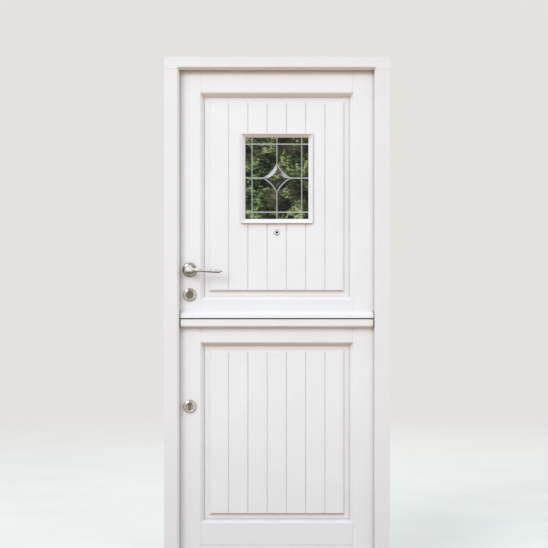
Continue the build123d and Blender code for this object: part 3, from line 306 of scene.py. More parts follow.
def rolledLead(name, look=leadStrip):
    # lead tape rolled on to the pane: dull grey, rubbed bright in patches, with painted light on its upper
    # side
    material, tree, place = newMaterial(name)
    rub = addNode(tree, "ShaderNodeTexNoise",
                  {"Scale": 1 / look["rubSize"], "Detail": 4.0, "Vector": place})
    rubbed = addNode(tree, "ShaderNodeValToRGB",
                     {"Fac": rub, "stops": [(0.35, look["metal"]), (0.7, look["bright"])]})
    normal = addNode(tree, "ShaderNodeTexCoord", {}).outputs["Normal"]
    facing = addNode(tree, "ShaderNodeSeparateXYZ", {"Vector": normal}).outputs["Z"]
    colour = blendAlong(tree, rubbed, look["paintedTopLight"], facing, look["topLightTurn"], look["topLightMost"])
    relief = addNode(tree, "ShaderNodeBump", {"Strength": 0.4, "Distance": look["rubDepth"], "Height": rub})
    shader = addNode(tree, "ShaderNodeBsdfPrincipled",
                     {"Metallic": 0.25, "Roughness": look["roughness"], "Base Color": colour,
                      "Normal": relief})
    addNode(tree, "ShaderNodeOutputMaterial", {"Surface": shader})
    return material


reflectedGarden = {
    "dark": "#060705",
    "shade": "#161c12",
    "green": "#31402a",
    "pale": "#59693a",
    "glint": "#9ca271",
    "brown": "#443d31",
    "leafSize": (10 * mm, 10 * mm, 5.5 * mm),   # leaves lie flatter than they are wide
    "twigSize": 16 * mm,
    "bend": 14 * mm,             # how far the twigs push the leaves about
    "clumpSize": 60 * mm,
    "brownSize": 90 * mm,
    "brownSpan": (0.52, 0.64),
    "brownMost": 0.7,
    "leafShare": 0.24,           # how much leaves, twigs and clumps each add to the brightness
    "twigShare": 0.55,
    "clumpShare": 0.85,
    "mirror": 0.22,
    "roughness": 0.03,
}


def paintedLeafReflection(tree, place, look=reflectedGarden):
    # painted reflection: the greens and browns that a pane mirrors, leaf cells bent by twigs, in clumps with
    # brown between
    sway = addNode(tree, "ShaderNodeTexNoise",
                   {"Scale": 1 / look["twigSize"], "Detail": 2.0, "Vector": place}).outputs["Color"]
    bent = addNode(tree, "ShaderNodeVectorMath",
                   {"operation": "MULTIPLY_ADD", 0: sway, 1: (look["bend"],) * 3, 2: place})
    spread = addNode(tree, "ShaderNodeMapping",
                     {"Scale": [1 / size for size in look["leafSize"]], "Vector": bent})
    leaves = addNode(tree, "ShaderNodeTexVoronoi", {"Scale": 1.0, "Vector": spread}).outputs["Color"]
    leafTone = addNode(tree, "ShaderNodeSeparateColor", {"Color": leaves})
    twigs = addNode(tree, "ShaderNodeTexNoise",
                    {"Scale": 1 / look["twigSize"], "Detail": 6.0, "Roughness": 0.7, "Vector": place})
    clumps = addNode(tree, "ShaderNodeTexNoise",
                     {"Scale": 1 / look["clumpSize"], "Detail": 2.0, "Vector": place})
    tone = addNode(tree, "ShaderNodeMath", {"operation": "MULTIPLY", 0: leafTone, 1: look["leafShare"]})
    for pattern, share in ((twigs, look["twigShare"]), (clumps, look["clumpShare"])):
        tone = addNode(tree, "ShaderNodeMath", {"operation": "MULTIPLY_ADD", 0: pattern, 1: share, 2: tone})
    greens = addNode(tree, "ShaderNodeValToRGB", {"Fac": tone, "stops": [
        (0.66, look["dark"]), (0.76, look["shade"]), (0.85, look["green"]), (0.93, look["pale"]),
        (1.0, look["glint"]),
    ]})
    thicket = addNode(tree, "ShaderNodeTexNoise",
                      {"Scale": 1 / look["brownSize"], "Detail": 3.0, "Vector": place})
    return blendAlong(tree, greens, look["brown"], thicket, look["brownSpan"], look["brownMost"])


def floatGlass(name, look=reflectedGarden):
    # float glass over a dark room: near black, with a painted reflection of the greens and browns that stand
    # before it
    material, tree, place = newMaterial(name)
    shader = addNode(tree, "ShaderNodeBsdfPrincipled",
                     {"Roughness": look["roughness"], "IOR": 1.52, "Specular IOR Level": look["mirror"],
                      "Base Color": paintedLeafReflection(tree, place)})
    addNode(tree, "ShaderNodeOutputMaterial", {"Surface": shader})
    return material


cutStar = {
    "upperLeft": "#93a5a1", "upperRightTop": "#6b4a3a", "upperRightSide": "#a9a7ba",
    "lower": "#272c22",
    "slope": 0.12,               # size of the normal's X or Z by which a bevel has its full colour
    "flatTurn": (-0.975, -0.995),     # the normal's Y over which a bevel turns flat
    "sideSpan": (14 * mm, 26 * mm),   # X over which the upper right bevels' top colour becomes the side's
    "rippleSize": 16.7 * mm,
    "rippleDepth": 0.2 * mm,
    "roughness": 0.04,
}


def cutGlass(name, look=cutStar):
    # cut and polished star: each bevel bends a different part of the daylight to the eye
    material, tree, place = newMaterial(name)
    normal = addNode(tree, "ShaderNodeTexCoord", {}).outputs["Normal"]
    facing = addNode(tree, "ShaderNodeSeparateXYZ", {"Vector": normal}).outputs
    across = addNode(tree, "ShaderNodeSeparateXYZ", {"Vector": place}).outputs["X"]
    slope = look["slope"]
    colour = blendAlong(tree, look["upperRightTop"], look["upperRightSide"], across, look["sideSpan"])
    colour = blendAlong(tree, look["upperLeft"], colour, facing["X"], (-slope, slope))
    colour = blendAlong(tree, look["lower"], colour, facing["Z"], (0.0, slope))
    colour = blendAlong(tree, colour, paintedLeafReflection(tree, place), facing["Y"], look["flatTurn"])
    ripple = addNode(tree, "ShaderNodeTexNoise",
                     {"Scale": 1 / look["rippleSize"], "Detail": 2.0, "Vector": place})
    relief = addNode(tree, "ShaderNodeBump",
                     {"Strength": 0.1, "Distance": look["rippleDepth"], "Height": ripple})
    shader = addNode(tree, "ShaderNodeBsdfPrincipled",
                     {"Roughness": look["roughness"], "IOR": 1.52, "Base Color": colour, "Normal": relief})
    addNode(tree, "ShaderNodeOutputMaterial", {"Surface": shader})
    return material


def middleOf(node):
    low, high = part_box(node)
    return (low + high) / 2


materials = {
    "chrome": polishedChrome("polishedChromeOnBrass"),
    "chromePlate": polishedChrome("darkMirrorChromePlate", darkMirrorPlate),
    "upperDish": polishedChrome("dishedChromeUpper", dishedPlate, middleOf("upper_escutcheons")),
    "lowerDish": polishedChrome("dishedChromeLower", paleDishPlate, middleOf("lower_escutcheons")),
    "steel": brushedMetal("linishedSteel", "Z", satinSteel),
    "screwSteel": brushedMetal("turnedScrewSteel", "Z", plainSteel),
    "nickel": brushedMetal("nickelPlatedCylinder", "Z", nickelPlate),
    "aluminium": brushedMetal("extrudedAluminium", "X", millAluminium),
    "rubber": extrudedRubber("extrudedSealRubber"),
    "lead": rolledLead("rolledLeadStrip"),
    "glass": floatGlass("floatGlassPane"),
    "star": cutGlass("cutBevelledStar"),
}
for coat, grain in (("Frame", "Z"), ("Frame", "X"), ("Leaf", "Z"), ("Leaf", "X"), ("Panel", "Z"),
                    ("Moulding", "X")):
    materials[f"paint{coat}{grain}"] = sprayedPaint(coat, grain)

finishOfNode = {
    "paintFrameZ": ["lock_jamb", "hinge_jamb"],
    "paintFrameX": ["head", "sill"],
    "paintLeafZ": ["upper_lock_stile", "upper_hinge_stile", "lower_lock_stile", "lower_hinge_stile"],
    "paintLeafX": ["upper_top_rail", "upper_meeting_rail", "drip_bar", "lower_top_rail", "lower_bottom_rail",
                   "lower_foot_rail", "nosing"],
    "paintPanelZ": ["upper_panel", "lower_panel"],
    "paintMouldingX": ["window_surround", "window_beads"],
    "chrome": ["outer_lever", "inner_lever", "link_bolt_plate", "link_bolt", "link_keeper",
               "upper_thumb_turn", "lower_thumb_turn", "viewer_barrel", "viewer_sleeve"],
    "chromePlate": ["lever_roses"],
    "upperDish": ["upper_escutcheons"],
    "lowerDish": ["lower_escutcheons"],
    "steel": ["frame_hinge_flaps", "upper_hinge_flaps", "lower_hinge_flaps", "hinge_pins", "upper_keep",
              "lower_keep", "upper_lock_case", "lower_lock_case", "latch_bolt", "upper_dead_bolt",
              "lower_dead_bolt", "lever_follower", "lever_spindle"],
    "screwSteel": ["frame_hinge_screws", "upper_hinge_screws", "lower_hinge_screws"],
    "nickel": ["upper_cylinder", "lower_cylinder", "upper_key_plug", "lower_key_plug"],
    "aluminium": ["threshold_bar", "glass_spacer"],
    "rubber": ["threshold_seal", "frame_seal", "meeting_seal"],
    "lead": ["lead_strips"],
    "glass": ["glass_panes", "viewer_lens"],
    "star": ["bevelled_star"],
}

for finish, names in finishOfNode.items():
    for nodeName in names:
        slots = nodes[nodeName].data.materials
        slots.clear()
        slots.append(materials[finish])
print("finishes:", sum(len(names) for names in finishOfNode.values()), "nodes")

# the outer mouldings and the raised panels are deeper than the CAD's, so these pieces stand for its nodes

leafForm = {
    "tongue": 10 * mm,           # how far the CAD panel goes into its groove
    "recess": 18 * mm,           # from the leaf's face down to the panel's margin
    "innerRecess": 12 * mm,
    "field": 7 * mm,             # from the leaf's face down to the raised field
    "bevel": 9.5 * mm,
    "sideMargin": 18.5 * mm,
    "topMargin": 15.2 * mm,
    "footMargin": 17.5 * mm,
    "innerMargin": 22 * mm,
    "edgeGap": 0.8 * mm,         # the margin ends this far inside the CAD's opening
    "tongueHalf": 7 * mm,        # half the tongue's thickness
    "boards": 7,
    "boardWide": 77.57 * mm,
    "grooveWide": 6 * mm,
    "grooveDeep": 3 * mm,
    "mouldingFoot": 17 * mm,     # depth of the moulding's slope at the panel, from the leaf's face
    "mouldingTop": 0.6 * mm,
    "mouldingSwell": 1.7 * mm,
    "mouldingSteps": 10,
    "viewerHole": 14.1 * mm,
    "step": 0.05 * mm,           # a wall in the panel's surface leans by this much
    "level": 0.001 * mm,         # corners of a cell this near in depth make it flat
    "weld": 0.001 * mm,          # a CAD mesh's corners this near to each other are one
    "cutterProud": 1 * mm,       # the cutter starts this far in front of the leaf's face
}
openings = {
    "upper": {"body": "upper_leaf", "panel": "upper_panel", "sideGrow": 1 * mm, "footGrow": -1 * mm,
              "topGrow": -5.5 * mm, "side": 15 * mm, "foot": 13.5 * mm, "top": 17.5 * mm,
              "joinery": ["upper_lock_stile", "upper_hinge_stile", "upper_top_rail", "upper_meeting_rail"]},
    "lower": {"body": "lower_leaf", "panel": "lower_panel", "sideGrow": 1 * mm, "footGrow": 1.5 * mm,
              "topGrow": -3 * mm, "side": 15 * mm, "foot": 12.5 * mm, "top": 14.5 * mm,
              "joinery": ["lower_lock_stile", "lower_hinge_stile", "lower_top_rail", "lower_bottom_rail"]},
}
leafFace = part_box("upper_top_rail")[0].y
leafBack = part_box("upper_top_rail")[1].y
leafMiddle = (leafFace + leafBack) / 2


def addPiece(name, shape, body, material):
    bmesh.ops.recalc_face_normals(shape, faces=shape.faces)
    mesh = bpy.data.meshes.new(name)
    shape.to_mesh(mesh)
    shape.free()
    piece = bpy.data.objects.new(name, mesh)
    bpy.context.scene.collection.objects.link(piece)
    mesh.materials.append(material)
    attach(piece, body)
    return piece


def grown(box, left, right, foot, top):
    # box is (left, right, foot, top) in X and Z
    return box[0] - left, box[1] + right, box[2] - foot, box[3] + top


def cornersOf(box):
    return [Vector((box[0], 0, box[2])), Vector((box[1], 0, box[2])),
            Vector((box[1], 0, box[3])), Vector((box[0], 0, box[3]))]


def mouldingProfile(form=leafForm):
    # (share of the width from the panel's side, Y) of the moulding's section
    foot, top = leafFace + form["mouldingFoot"], leafFace + form["mouldingTop"]
    back = leafFace + form["recess"]
    slope = []
    for n in range(form["mouldingSteps"] + 1):
        t = n / form["mouldingSteps"]
        slope.append((t, foot + (top - foot) * t - form["mouldingSwell"] * math.sin(math.pi * t)))
    return [(0, back)] + slope + [(1, back)]


def mitredRing(shape, inner, outer, profile):
    lines = []
    for a, b in zip(cornersOf(inner), cornersOf(outer)):
        lines.append([shape.verts.new(a.lerp(b, t) + Vector((0, y, 0))) for t, y in profile])
    for line, after in zip(lines, lines[1:] + lines[:1]):
        for n in range(len(profile)):
            m = (n + 1) % len(profile)
            shape.faces.new((line[n], line[m], after[m], after[n]))


def cutAway(node, cutterBox, body, material):
    # a copy of a stile or rail with its worked edge cut away for the moulding
    shape = bmesh.new()
    shape.from_mesh(nodes[node].data)
    bmesh.ops.remove_doubles(shape, verts=shape.verts, dist=leafForm["weld"])
    words = node.split("_")
    piece = addPiece(words[0] + "".join(w.title() for w in words[1:]), shape, body, material)
    cut = piece.modifiers.new("opening", "BOOLEAN")
    cut.operation = "DIFFERENCE"
    cut.solver = "EXACT"
    cut.object = cutterBox
    ready = piece.evaluated_get(bpy.context.evaluated_depsgraph_get())
    piece.data = bpy.data.meshes.new_from_object(ready)
    piece.modifiers.clear()
    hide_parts(node)


def boxShape(box, front, back):
    shape = bmesh.new()
    near = [shape.verts.new(c + Vector((0, front, 0))) for c in cornersOf(box)]
    far = [shape.verts.new(c + Vector((0, back, 0))) for c in cornersOf(box)]
    shape.faces.new(near)
    shape.faces.new(far)
    for n in range(4):
        m = (n + 1) % 4
        shape.faces.new((near[n], near[m], far[m], far[n]))
    bmesh.ops.recalc_face_normals(shape, faces=shape.faces)
    return shape


def grooveMiddles(form=leafForm):
    return [(n - form["boards"] / 2) * form["boardWide"] for n in range(1, form["boards"])]


def fieldDepth(x, z, crest, foot, edge, tongueY, marginY, fieldY, inwards, form=leafForm):
    # Y of a raised and grooved face at (x, z): crest, foot and edge are boxes from the field outwards
    def beyond(box):
        return max(box[0] - x, x - box[1], box[2] - z, z - box[3], 0)
    if beyond(edge) > 0:
        return tongueY
    slope = min(1, max((crest[0] - x) / (crest[0] - foot[0]), (x - crest[1]) / (foot[1] - crest[1]),
                       (crest[2] - z) / (crest[2] - foot[2]), (z - crest[3]) / (foot[3] - crest[3]), 0))
    bevelDown = slope * abs(marginY - fieldY)
    nearest = min(abs(x - middle) for middle in grooveMiddles())
    grooveDown = form["grooveDeep"] * max(0, 1 - nearest / (form["grooveWide"] / 2))
    return fieldY + inwards * max(bevelDown, grooveDown)


def surfaceGrid(shape, xs, zs, depth, holes):
    # one face of the panel; each cell is split from one corner, so grooves and mitres come out straight
    grid = {(i, j): shape.verts.new((x, depth(x, z), z)) for i, x in enumerate(xs) for j, z in enumerate(zs)}
    for i in range(len(xs) - 1):
        for j in range(len(zs) - 1):
            x, z = (xs[i] + xs[i + 1]) / 2, (zs[j] + zs[j + 1]) / 2
            if any(h[0] < x < h[1] and h[2] < z < h[3] for h in holes):
                continue
            ring = [grid[i, j], grid[i + 1, j], grid[i + 1, j + 1], grid[i, j + 1]]
            downs = [abs(v.co.y - leafMiddle) for v in ring]
            if max(downs) - min(downs) < leafForm["level"]:
                shape.faces.new(ring)
                continue
            first = downs.index(max(downs))
            a, b, c, d = ring[first:] + ring[:first]
            shape.faces.new((a, b, c))
            shape.faces.new((a, c, d))
    return grid


def wallLines(xs, zs, box):
    # grid places along the four sides of a box, in order
    i0, i1 = (min(range(len(xs)), key=lambda i: abs(xs[i] - x)) for x in box[:2])
    j0, j1 = (min(range(len(zs)), key=lambda j: abs(zs[j] - z)) for z in box[2:])
    across, upward = range(i0, i1 + 1), range(j0, j1 + 1)
    return [[(i, j0) for i in across], [(i, j1) for i in across],
            [(i0, j) for j in upward], [(i1, j) for j in upward]]


def gridLines(span, *others):
    # places that agree to 0.0001 mm are one line
    return sorted({round(v, 7) for v in span + tuple(w for other in others for w in other)})


def raisedPanel(name, opening, edge, holes, margins, form=leafForm):
    # the board: a raised, bevelled and grooved field on both faces, and a tongue all round
    shape = bmesh.new()
    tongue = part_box(opening["panel"])
    outline = (tongue[0].x, tongue[1].x, tongue[0].z, tongue[1].z)
    cadEdge = grown(outline, *[-form["tongue"]] * 4)
    lip = grown(cadEdge, *[-form["edgeGap"]] * 4)
    lipOut = grown(lip, *[form["step"]] * 4)
    grooveLines = [m + way * form["grooveWide"] / 2 for m in grooveMiddles() for way in (-1, 0, 1)]
    grids = []
    for inwards in (1, -1):
        side, foot, top = margins if inwards > 0 else [form["innerMargin"]] * 3
        around = edge if inwards > 0 else cadEdge
        fieldFoot = grown(around, -side, -side, -foot, -top)
        crest = grown(fieldFoot, *[-form["bevel"]] * 4)
        face = leafFace if inwards > 0 else leafBack
        marginY = face + inwards * (form["recess"] if inwards > 0 else form["innerRecess"])
        fieldY = face + inwards * form["field"]
        share = form["grooveDeep"] / abs(marginY - fieldY) * form["bevel"]
        die = grown(crest, *[share] * 4)     # where the grooves run out on the bevel
        boxes = [outline, lipOut, lip, fieldFoot, die, crest] + holes
        xs = gridLines(tuple(grooveLines), *[b[:2] for b in boxes])
        zs = gridLines((), *[b[2:] for b in boxes])
        tongueY = leafMiddle - inwards * form["tongueHalf"]

        def depth(x, z):
            return fieldDepth(x, z, crest, fieldFoot, grown(lip, *[form["step"] / 2] * 4), tongueY, marginY,
                              fieldY, inwards)
        grids.append((surfaceGrid(shape, xs, zs, depth, holes), xs, zs))
    for box in [outline] + holes:
        for near, far in zip(wallLines(*grids[0][1:], box), wallLines(*grids[1][1:], box)):
            shape.faces.new([grids[0][0][at] for at in near] + [grids[1][0][at] for at in reversed(far)])
    loose = [v for v in shape.verts if not v.link_faces]
    bmesh.ops.delete(shape, geom=loose, context="VERTS")
    piece = addPiece(name, shape, opening["body"], materials["paintPanelZ"])
    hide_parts(opening["panel"])


windowLow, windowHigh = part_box("window_surround")
windowLeg = 11 * mm              # the surround laps over the board by this much
viewerMiddle = middleOf("viewer_barrel")
viewerHalf = leafForm["viewerHole"] / 2
holesOf = {
    "upper": [(windowLow.x + windowLeg, windowHigh.x - windowLeg,
               windowLow.z + windowLeg, windowHigh.z - windowLeg),
              (viewerMiddle.x - viewerHalf, viewerMiddle.x + viewerHalf,
               viewerMiddle.z - viewerHalf, viewerMiddle.z + viewerHalf)],
    "lower": [],
}
for leafName, opening in openings.items():
    low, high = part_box(opening["panel"])
    cadOpening = grown((low.x, high.x, low.z, high.z), *[-leafForm["tongue"]] * 4)
    inner = grown(cadOpening, opening["sideGrow"], opening["sideGrow"],
                  opening["footGrow"], opening["topGrow"])
    outer = grown(inner, opening["side"], opening["side"], opening["foot"], opening["top"])
    cutter = bpy.data.objects.new("cutter", bpy.data.meshes.new("cutter"))
    boxShape(outer, leafFace - leafForm["cutterProud"], leafFace + leafForm["recess"]).to_mesh(cutter.data)
    bpy.context.scene.collection.objects.link(cutter)
    for node in opening["joinery"]:
        grain = "Z" if "stile" in node else "X"
        cutAway(node, cutter, opening["body"], materials["paintLeaf" + grain])
    bpy.data.objects.remove(cutter)
    ring = bmesh.new()
    mitredRing(ring, inner, outer, mouldingProfile())
    addPiece(leafName + "PanelMoulding", ring, opening["body"], materials["paintLeafZ"])
    raisedPanel(leafName + "RaisedPanel", opening, inner, holesOf[leafName],
                (leafForm["sideMargin"], leafForm["footMargin"], leafForm["topMargin"]))
print("mouldings and panels:", len(openings), "leaves")

# the lead cames are half round and the star is a little larger than the CAD's

windowForm = {
    "sightHalf": 127 * mm,
    "sightRise": 164 * mm,
    "sideLead": 100 * mm,        # from the window's middle to the upright near each side
    "endLead": 137 * mm,
    "leadWide": 4.9 * mm,
    "leadHigh": 1.7 * mm,
    "leadSteps": 8,
    "starAcross": 52 * mm,       # half sizes of the star
    "starUp": 54.5 * mm,
    "starLift": 0.3 * mm,
    "starHollow": 6.5 * mm,
    "starRim": 1 * mm,
    "starCrown": 4 * mm,
    "starCore": 0.68,            # share of the star that is flat, inside its bevels
    "sideSteps": 14,
}
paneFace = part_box("glass_panes")[0].y
windowMiddle = middleOf("glass_panes")


def starSides(grow, form=windowForm):
    # four hollow sides, each a list of (x, z) points from the star's middle
    across, up = form["starAcross"] + grow, form["starUp"] + grow
    tips = [Vector((across, 0)), Vector((0, up)), Vector((-across, 0)), Vector((0, -up))]
    sides = []
    for a, b in zip(tips, tips[1:] + tips[:1]):
        side = []
        for n in range(form["sideSteps"] + 1):
            t = n / form["sideSteps"]
            chord = a.lerp(b, t)
            hollow = form["starHollow"] * 4 * t * (1 - t)
            side.append(chord - ((a + b) / 2).normalized() * hollow)
        sides.append(side)
    return sides


def cameAlong(shape, points, form=windowForm):
    # a half round strip on the pane, along (x, z) points from the window's middle
    lines = []
    for n, point in enumerate(points):
        ahead = points[min(n + 1, len(points) - 1)] - points[max(n - 1, 0)]
        across = Vector((-ahead.y, ahead.x)).normalized() * form["leadWide"] / 2
        line = []
        for step in range(form["leadSteps"] + 1):
            turn = math.pi * step / form["leadSteps"]
            at = point + across * math.cos(turn)
            line.append(shape.verts.new((windowMiddle.x + at.x, paneFace - form["leadHigh"] * math.sin(turn),
                                         windowMiddle.z + at.y)))
        lines.append(line)
    for line, after in zip(lines, lines[1:]):
        for n in range(len(line)):
            m = (n + 1) % len(line)
            shape.faces.new((line[n], line[m], after[m], after[n]))
    shape.faces.new(lines[0])
    shape.faces.new(lines[-1])


def leadCames(form=windowForm):
    half, rise = form["sightHalf"], form["sightRise"]
    middleLine = form["starLift"]
    lift = Vector((0, middleLine))
    grow = form["leadWide"] / 2
    across, up = form["starAcross"] + grow, form["starUp"] + grow
    runs = [((way * form["sideLead"], -rise), (way * form["sideLead"], rise)) for way in (-1, 1)]
    runs += [((-half, way * form["endLead"]), (half, way * form["endLead"])) for way in (-1, 1)]
    runs += [((way * across, middleLine), (way * half, middleLine)) for way in (-1, 1)]
    runs += [((0, middleLine + way * up), (0, way * rise)) for way in (-1, 1)]
    shape = bmesh.new()
    for a, b in runs:
        cameAlong(shape, [Vector(a), Vector(b)])
    for side in starSides(grow):
        cameAlong(shape, [point + lift for point in side])
    cames = addPiece("leadCames", shape, "upper_leaf", materials["lead"])
    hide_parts("lead_strips")


def cutStarGlass(form=windowForm):
    shape = bmesh.new()
    outline = [point for side in starSides(0) for point in side[:-1]]
    rings = []
    for share, y in ((1, 0), (1, form["starRim"]), (form["starCore"], form["starCrown"])):
        rings.append([shape.verts.new((windowMiddle.x + share * p.x, paneFace - y,
                                       windowMiddle.z + form["starLift"] + share * p.y)) for p in outline])
    count = len(outline)
    for ring, after in zip(rings, rings[1:]):
        for n in range(count):
            m = (n + 1) % count
            shape.faces.new((ring[n], ring[m], after[m], after[n]))
    for ring, y in ((rings[0], 0), (rings[-1], form["starCrown"])):
        hub = shape.verts.new((windowMiddle.x, paneFace - y, windowMiddle.z + form["starLift"]))
        for n in range(count):
            shape.faces.new((ring[n], ring[(n + 1) % count], hub))
    star = addPiece("cutStarGlass", shape, "upper_leaf", materials["star"])
    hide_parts("bevelled_star")


leadCames()
cutStarGlass()
print("window: cames and star")

endSeal = {
    "base": 0.6 * mm,            # of the strip on the end of the nosing
    "thick": 1.7 * mm,           # over its ribs
    "ribs": 6,
    "ribTop": (0.3, 0.5),        # where a rib's top begins and ends, as shares of the pitch
    "ribFoot": 0.8,              # and where it is back on its base
    "inset": 0.5 * mm,
}


def nosingEndSeals(form=endSeal):
    # a ribbed rubber strip on each end of the nosing, a guessed seal whose black also stands in for the shade
    # of the gap beside the jambs
    low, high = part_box("nosing")
    front, back = low.y + form["inset"], high.y
    pitch = (back - front) / form["ribs"]
    profile = [(0, front)]
    for n in range(form["ribs"]):
        start = front + pitch * n
        profile.append((form["base"], start))
        profile += [(form["thick"], start + share * pitch) for share in form["ribTop"]]
        profile.append((form["base"], start + form["ribFoot"] * pitch))
    profile += [(form["base"], back), (0, back)]
    shape = bmesh.new()
    for end, way in ((low.x, -1), (high.x, 1)):
        rings = [[shape.verts.new((end + way * out, y, z)) for out, y in profile]
                 for z in (low.z + form["inset"], high.z - form["inset"])]
        count = len(profile)
        for n in range(count):
            m = (n + 1) % count
            shape.faces.new((rings[0][n], rings[0][m], rings[1][m], rings[1][n]))
        shape.faces.new(rings[0])
        shape.faces.new(rings[1])
    addPiece("nosingEndSeals", shape, "lower_leaf", materials["rubber"])


nosingEndSeals()
print("seals: nosing ends")

# screw heads: the CAD screws of the hinges are plain, and those of the locks and plates are only here

screwHead = {
    "rim": 4.2 * mm,
    "smallRim": 2.9 * mm,
    "shoulder": 0.95,            # shares of the rim's radius where the dome bends and where it flattens
    "crown": 0.78,
    "shoulderRise": 0.45,        # share of the rise
    "rise": 0.5 * mm,
    "recess": 0.38 * mm,
    "recessTaper": 0.86,         # the cross's floor over its brink
    "armLong": 0.6,              # shares of the rim's radius, from the middle
    "armWide": 0.17,
    "points": 32,
    "firstTurn": 0.4,            # radians that the crosses are turned, as a driver leaves them
    "turnStep": 1.1,
}


def crossOutline(long, wide):
    # twelve corners of the driver's cross, anticlockwise from the right arm
    corners = []
    for turn in range(4):
        spin = Matrix.Rotation(turn * math.pi / 2, 2)
        for x, y in ((long, -wide), (long, wide), (wide, wide)):
            corners.append(spin @ Vector((x, y)))
    return corners


def loopOfEdges(shape, ring):
    return [shape.edges.new((a, b)) for a, b in zip(ring, ring[1:] + ring[:1])]


def addScrewHead(shape, at, facing, rim, spin, look=screwHead):
    # a raised countersunk head with a driver's cross sunk in it
    turn = Vector((0, 0, 1)).rotation_difference(Vector(facing)).to_matrix().to_4x4()
    place = Matrix.Translation(at) @ turn @ Matrix.Rotation(spin, 4, "Z")
    points = look["points"]
    angles = [2 * math.pi * n / points for n in range(points)]
    levels = [(rim, 0.0), (look["shoulder"] * rim, look["shoulderRise"] * look["rise"]),
              (look["crown"] * rim, look["rise"])]
    rings = [[shape.verts.new(place @ Vector((r * math.cos(a), r * math.sin(a), h))) for a in angles]
             for r, h in levels]
    shape.faces.new(rings[0][::-1])
    for low, high in zip(rings, rings[1:]):
        for n in range(points):
            after = (n + 1) % points
            shape.faces.new((low[n], low[after], high[after], high[n]))
    outline = crossOutline(look["armLong"] * rim, look["armWide"] * rim)
    brink = [shape.verts.new(place @ Vector((p.x, p.y, look["rise"]))) for p in outline]
    floor = look["rise"] - look["recess"]
    taper = look["recessTaper"]
    sunk = [shape.verts.new(place @ Vector((taper * p.x, taper * p.y, floor))) for p in outline]
    edges = [shape.edges.get((a, b)) for a, b in zip(rings[-1], rings[-1][1:] + rings[-1][:1])]
    bmesh.ops.triangle_fill(shape, use_beauty=True, edges=edges + loopOfEdges(shape, brink))
    for n, corner in enumerate(brink):
        after = (n + 1) % len(brink)
        shape.faces.new((corner, sunk[n], sunk[after], brink[after]))
    shape.faces.new(sunk)


def screwPiece(name, body, heads, material):
    # heads is a list of (place, facing, rim radius); each cross is turned a little more than the last
    shape = bmesh.new()
    for n, (at, facing, rim) in enumerate(heads):
        addScrewHead(shape, at, facing, rim, screwHead["firstTurn"] + screwHead["turnStep"] * n)
    addPiece(name, shape, body, material)


hingeScrews = {"height": 100 * mm, "near": 9 * mm, "far": 21 * mm, "nearRise": 36 * mm, "farRise": 13 * mm}


def hingeScrewHeads(flapNode, faceX, facing, heights):
    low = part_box(flapNode)[0]
    heads = []
    for height in heights:
        for way in (-1, 1):
            for y, rise in (("near", "nearRise"), ("far", "farRise")):
                at = (faceX, low[1] + hingeScrews[y], height + way * hingeScrews[rise])
                heads.append((at, facing, screwHead["rim"]))
    return heads


plateScrews = {"endInset": 9 * mm, "linkSide": 13.4 * mm, "linkInset": 7 * mm, "linkThick": 2.5 * mm}


def hingeHeights(flapNode):
    low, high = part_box(flapNode)
    half = hingeScrews["height"] / 2
    return low[2] + half, high[2] - half


def endScrewHeads(node, faceX, facing):
    # one near each end of a forend or keep
    low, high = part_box(node)
    inset = plateScrews["endInset"]
    heights = (low[2] + inset, high[2] - inset)
    return [((faceX, middleOf(node).y, z), facing, screwHead["rim"]) for z in heights]


def plateScrewHeads(node):
    low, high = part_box(node)
    side, inset, thick = (plateScrews[key] for key in ("linkSide", "linkInset", "linkThick"))
    return [((middleOf(node).x + way * side, low[1] + thick, z), (0, 1, 0), screwHead["smallRim"])
            for way in (-1, 1) for z in (low[2] + inset, high[2] - inset)]


leftwards, rightwards = (-1, 0, 0), (1, 0, 0)
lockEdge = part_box("upper_lock_stile")[0][0]
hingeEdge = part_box("upper_hinge_stile")[1][0]
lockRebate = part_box("upper_keep")[1][0]
hingeRebate = hingeEdge + (lockEdge - lockRebate)
upperHinges = hingeHeights("upper_hinge_flaps")
lowerHinges = hingeHeights("lower_hinge_flaps")
screwRows = {
    "frameHingeScrewHeads": ("frame", hingeScrewHeads("frame_hinge_flaps", hingeRebate, leftwards,
                                                      lowerHinges + upperHinges)),
    "upperHingeScrewHeads": ("upper_leaf", hingeScrewHeads("upper_hinge_flaps", hingeEdge, rightwards,
                                                           upperHinges)),
    "lowerHingeScrewHeads": ("lower_leaf", hingeScrewHeads("lower_hinge_flaps", hingeEdge, rightwards,
                                                           lowerHinges)),
    "keepScrewHeads": ("frame", endScrewHeads("upper_keep", lockRebate, rightwards)
                       + endScrewHeads("lower_keep", lockRebate, rightwards)),
    "upperForendScrewHeads": ("upper_leaf", endScrewHeads("upper_lock_case", lockEdge, leftwards)),
    "lowerForendScrewHeads": ("lower_leaf", endScrewHeads("lower_lock_case", lockEdge, leftwards)),
    "keeperScrewHeads": ("upper_leaf", plateScrewHeads("link_keeper")),
    "boltPlateScrewHeads": ("lower_leaf", plateScrewHeads("link_bolt_plate")),
}
for name, (body, heads) in screwRows.items():
    screwPiece(name, body, heads, materials["screwSteel"])
print("screw heads:", sum(len(heads) for body, heads in screwRows.values()))

# room

room = {
    "background": "#e4e2df",
    "floor": "#d9d5cf",
    "floorPale": "#e0dcd6",
    "floorPatch": 0.333,
    "floorReach": 30.0,
    "floorSides": 96,
    "floorFade": (1.6, 6.0),     # distances between which the floor turns into the background
    "floorDrop": 0.5 * mm,       # the floor lies this far below the sill
    "skyStrength": 1.16,
    "sky": "#ebf7ff",
    "ground": "#c2a796",         # the warm light that comes up from the ground
    "groundFade": (-0.2, 0.05),  # heights of a direction between which the ground's light ends
}


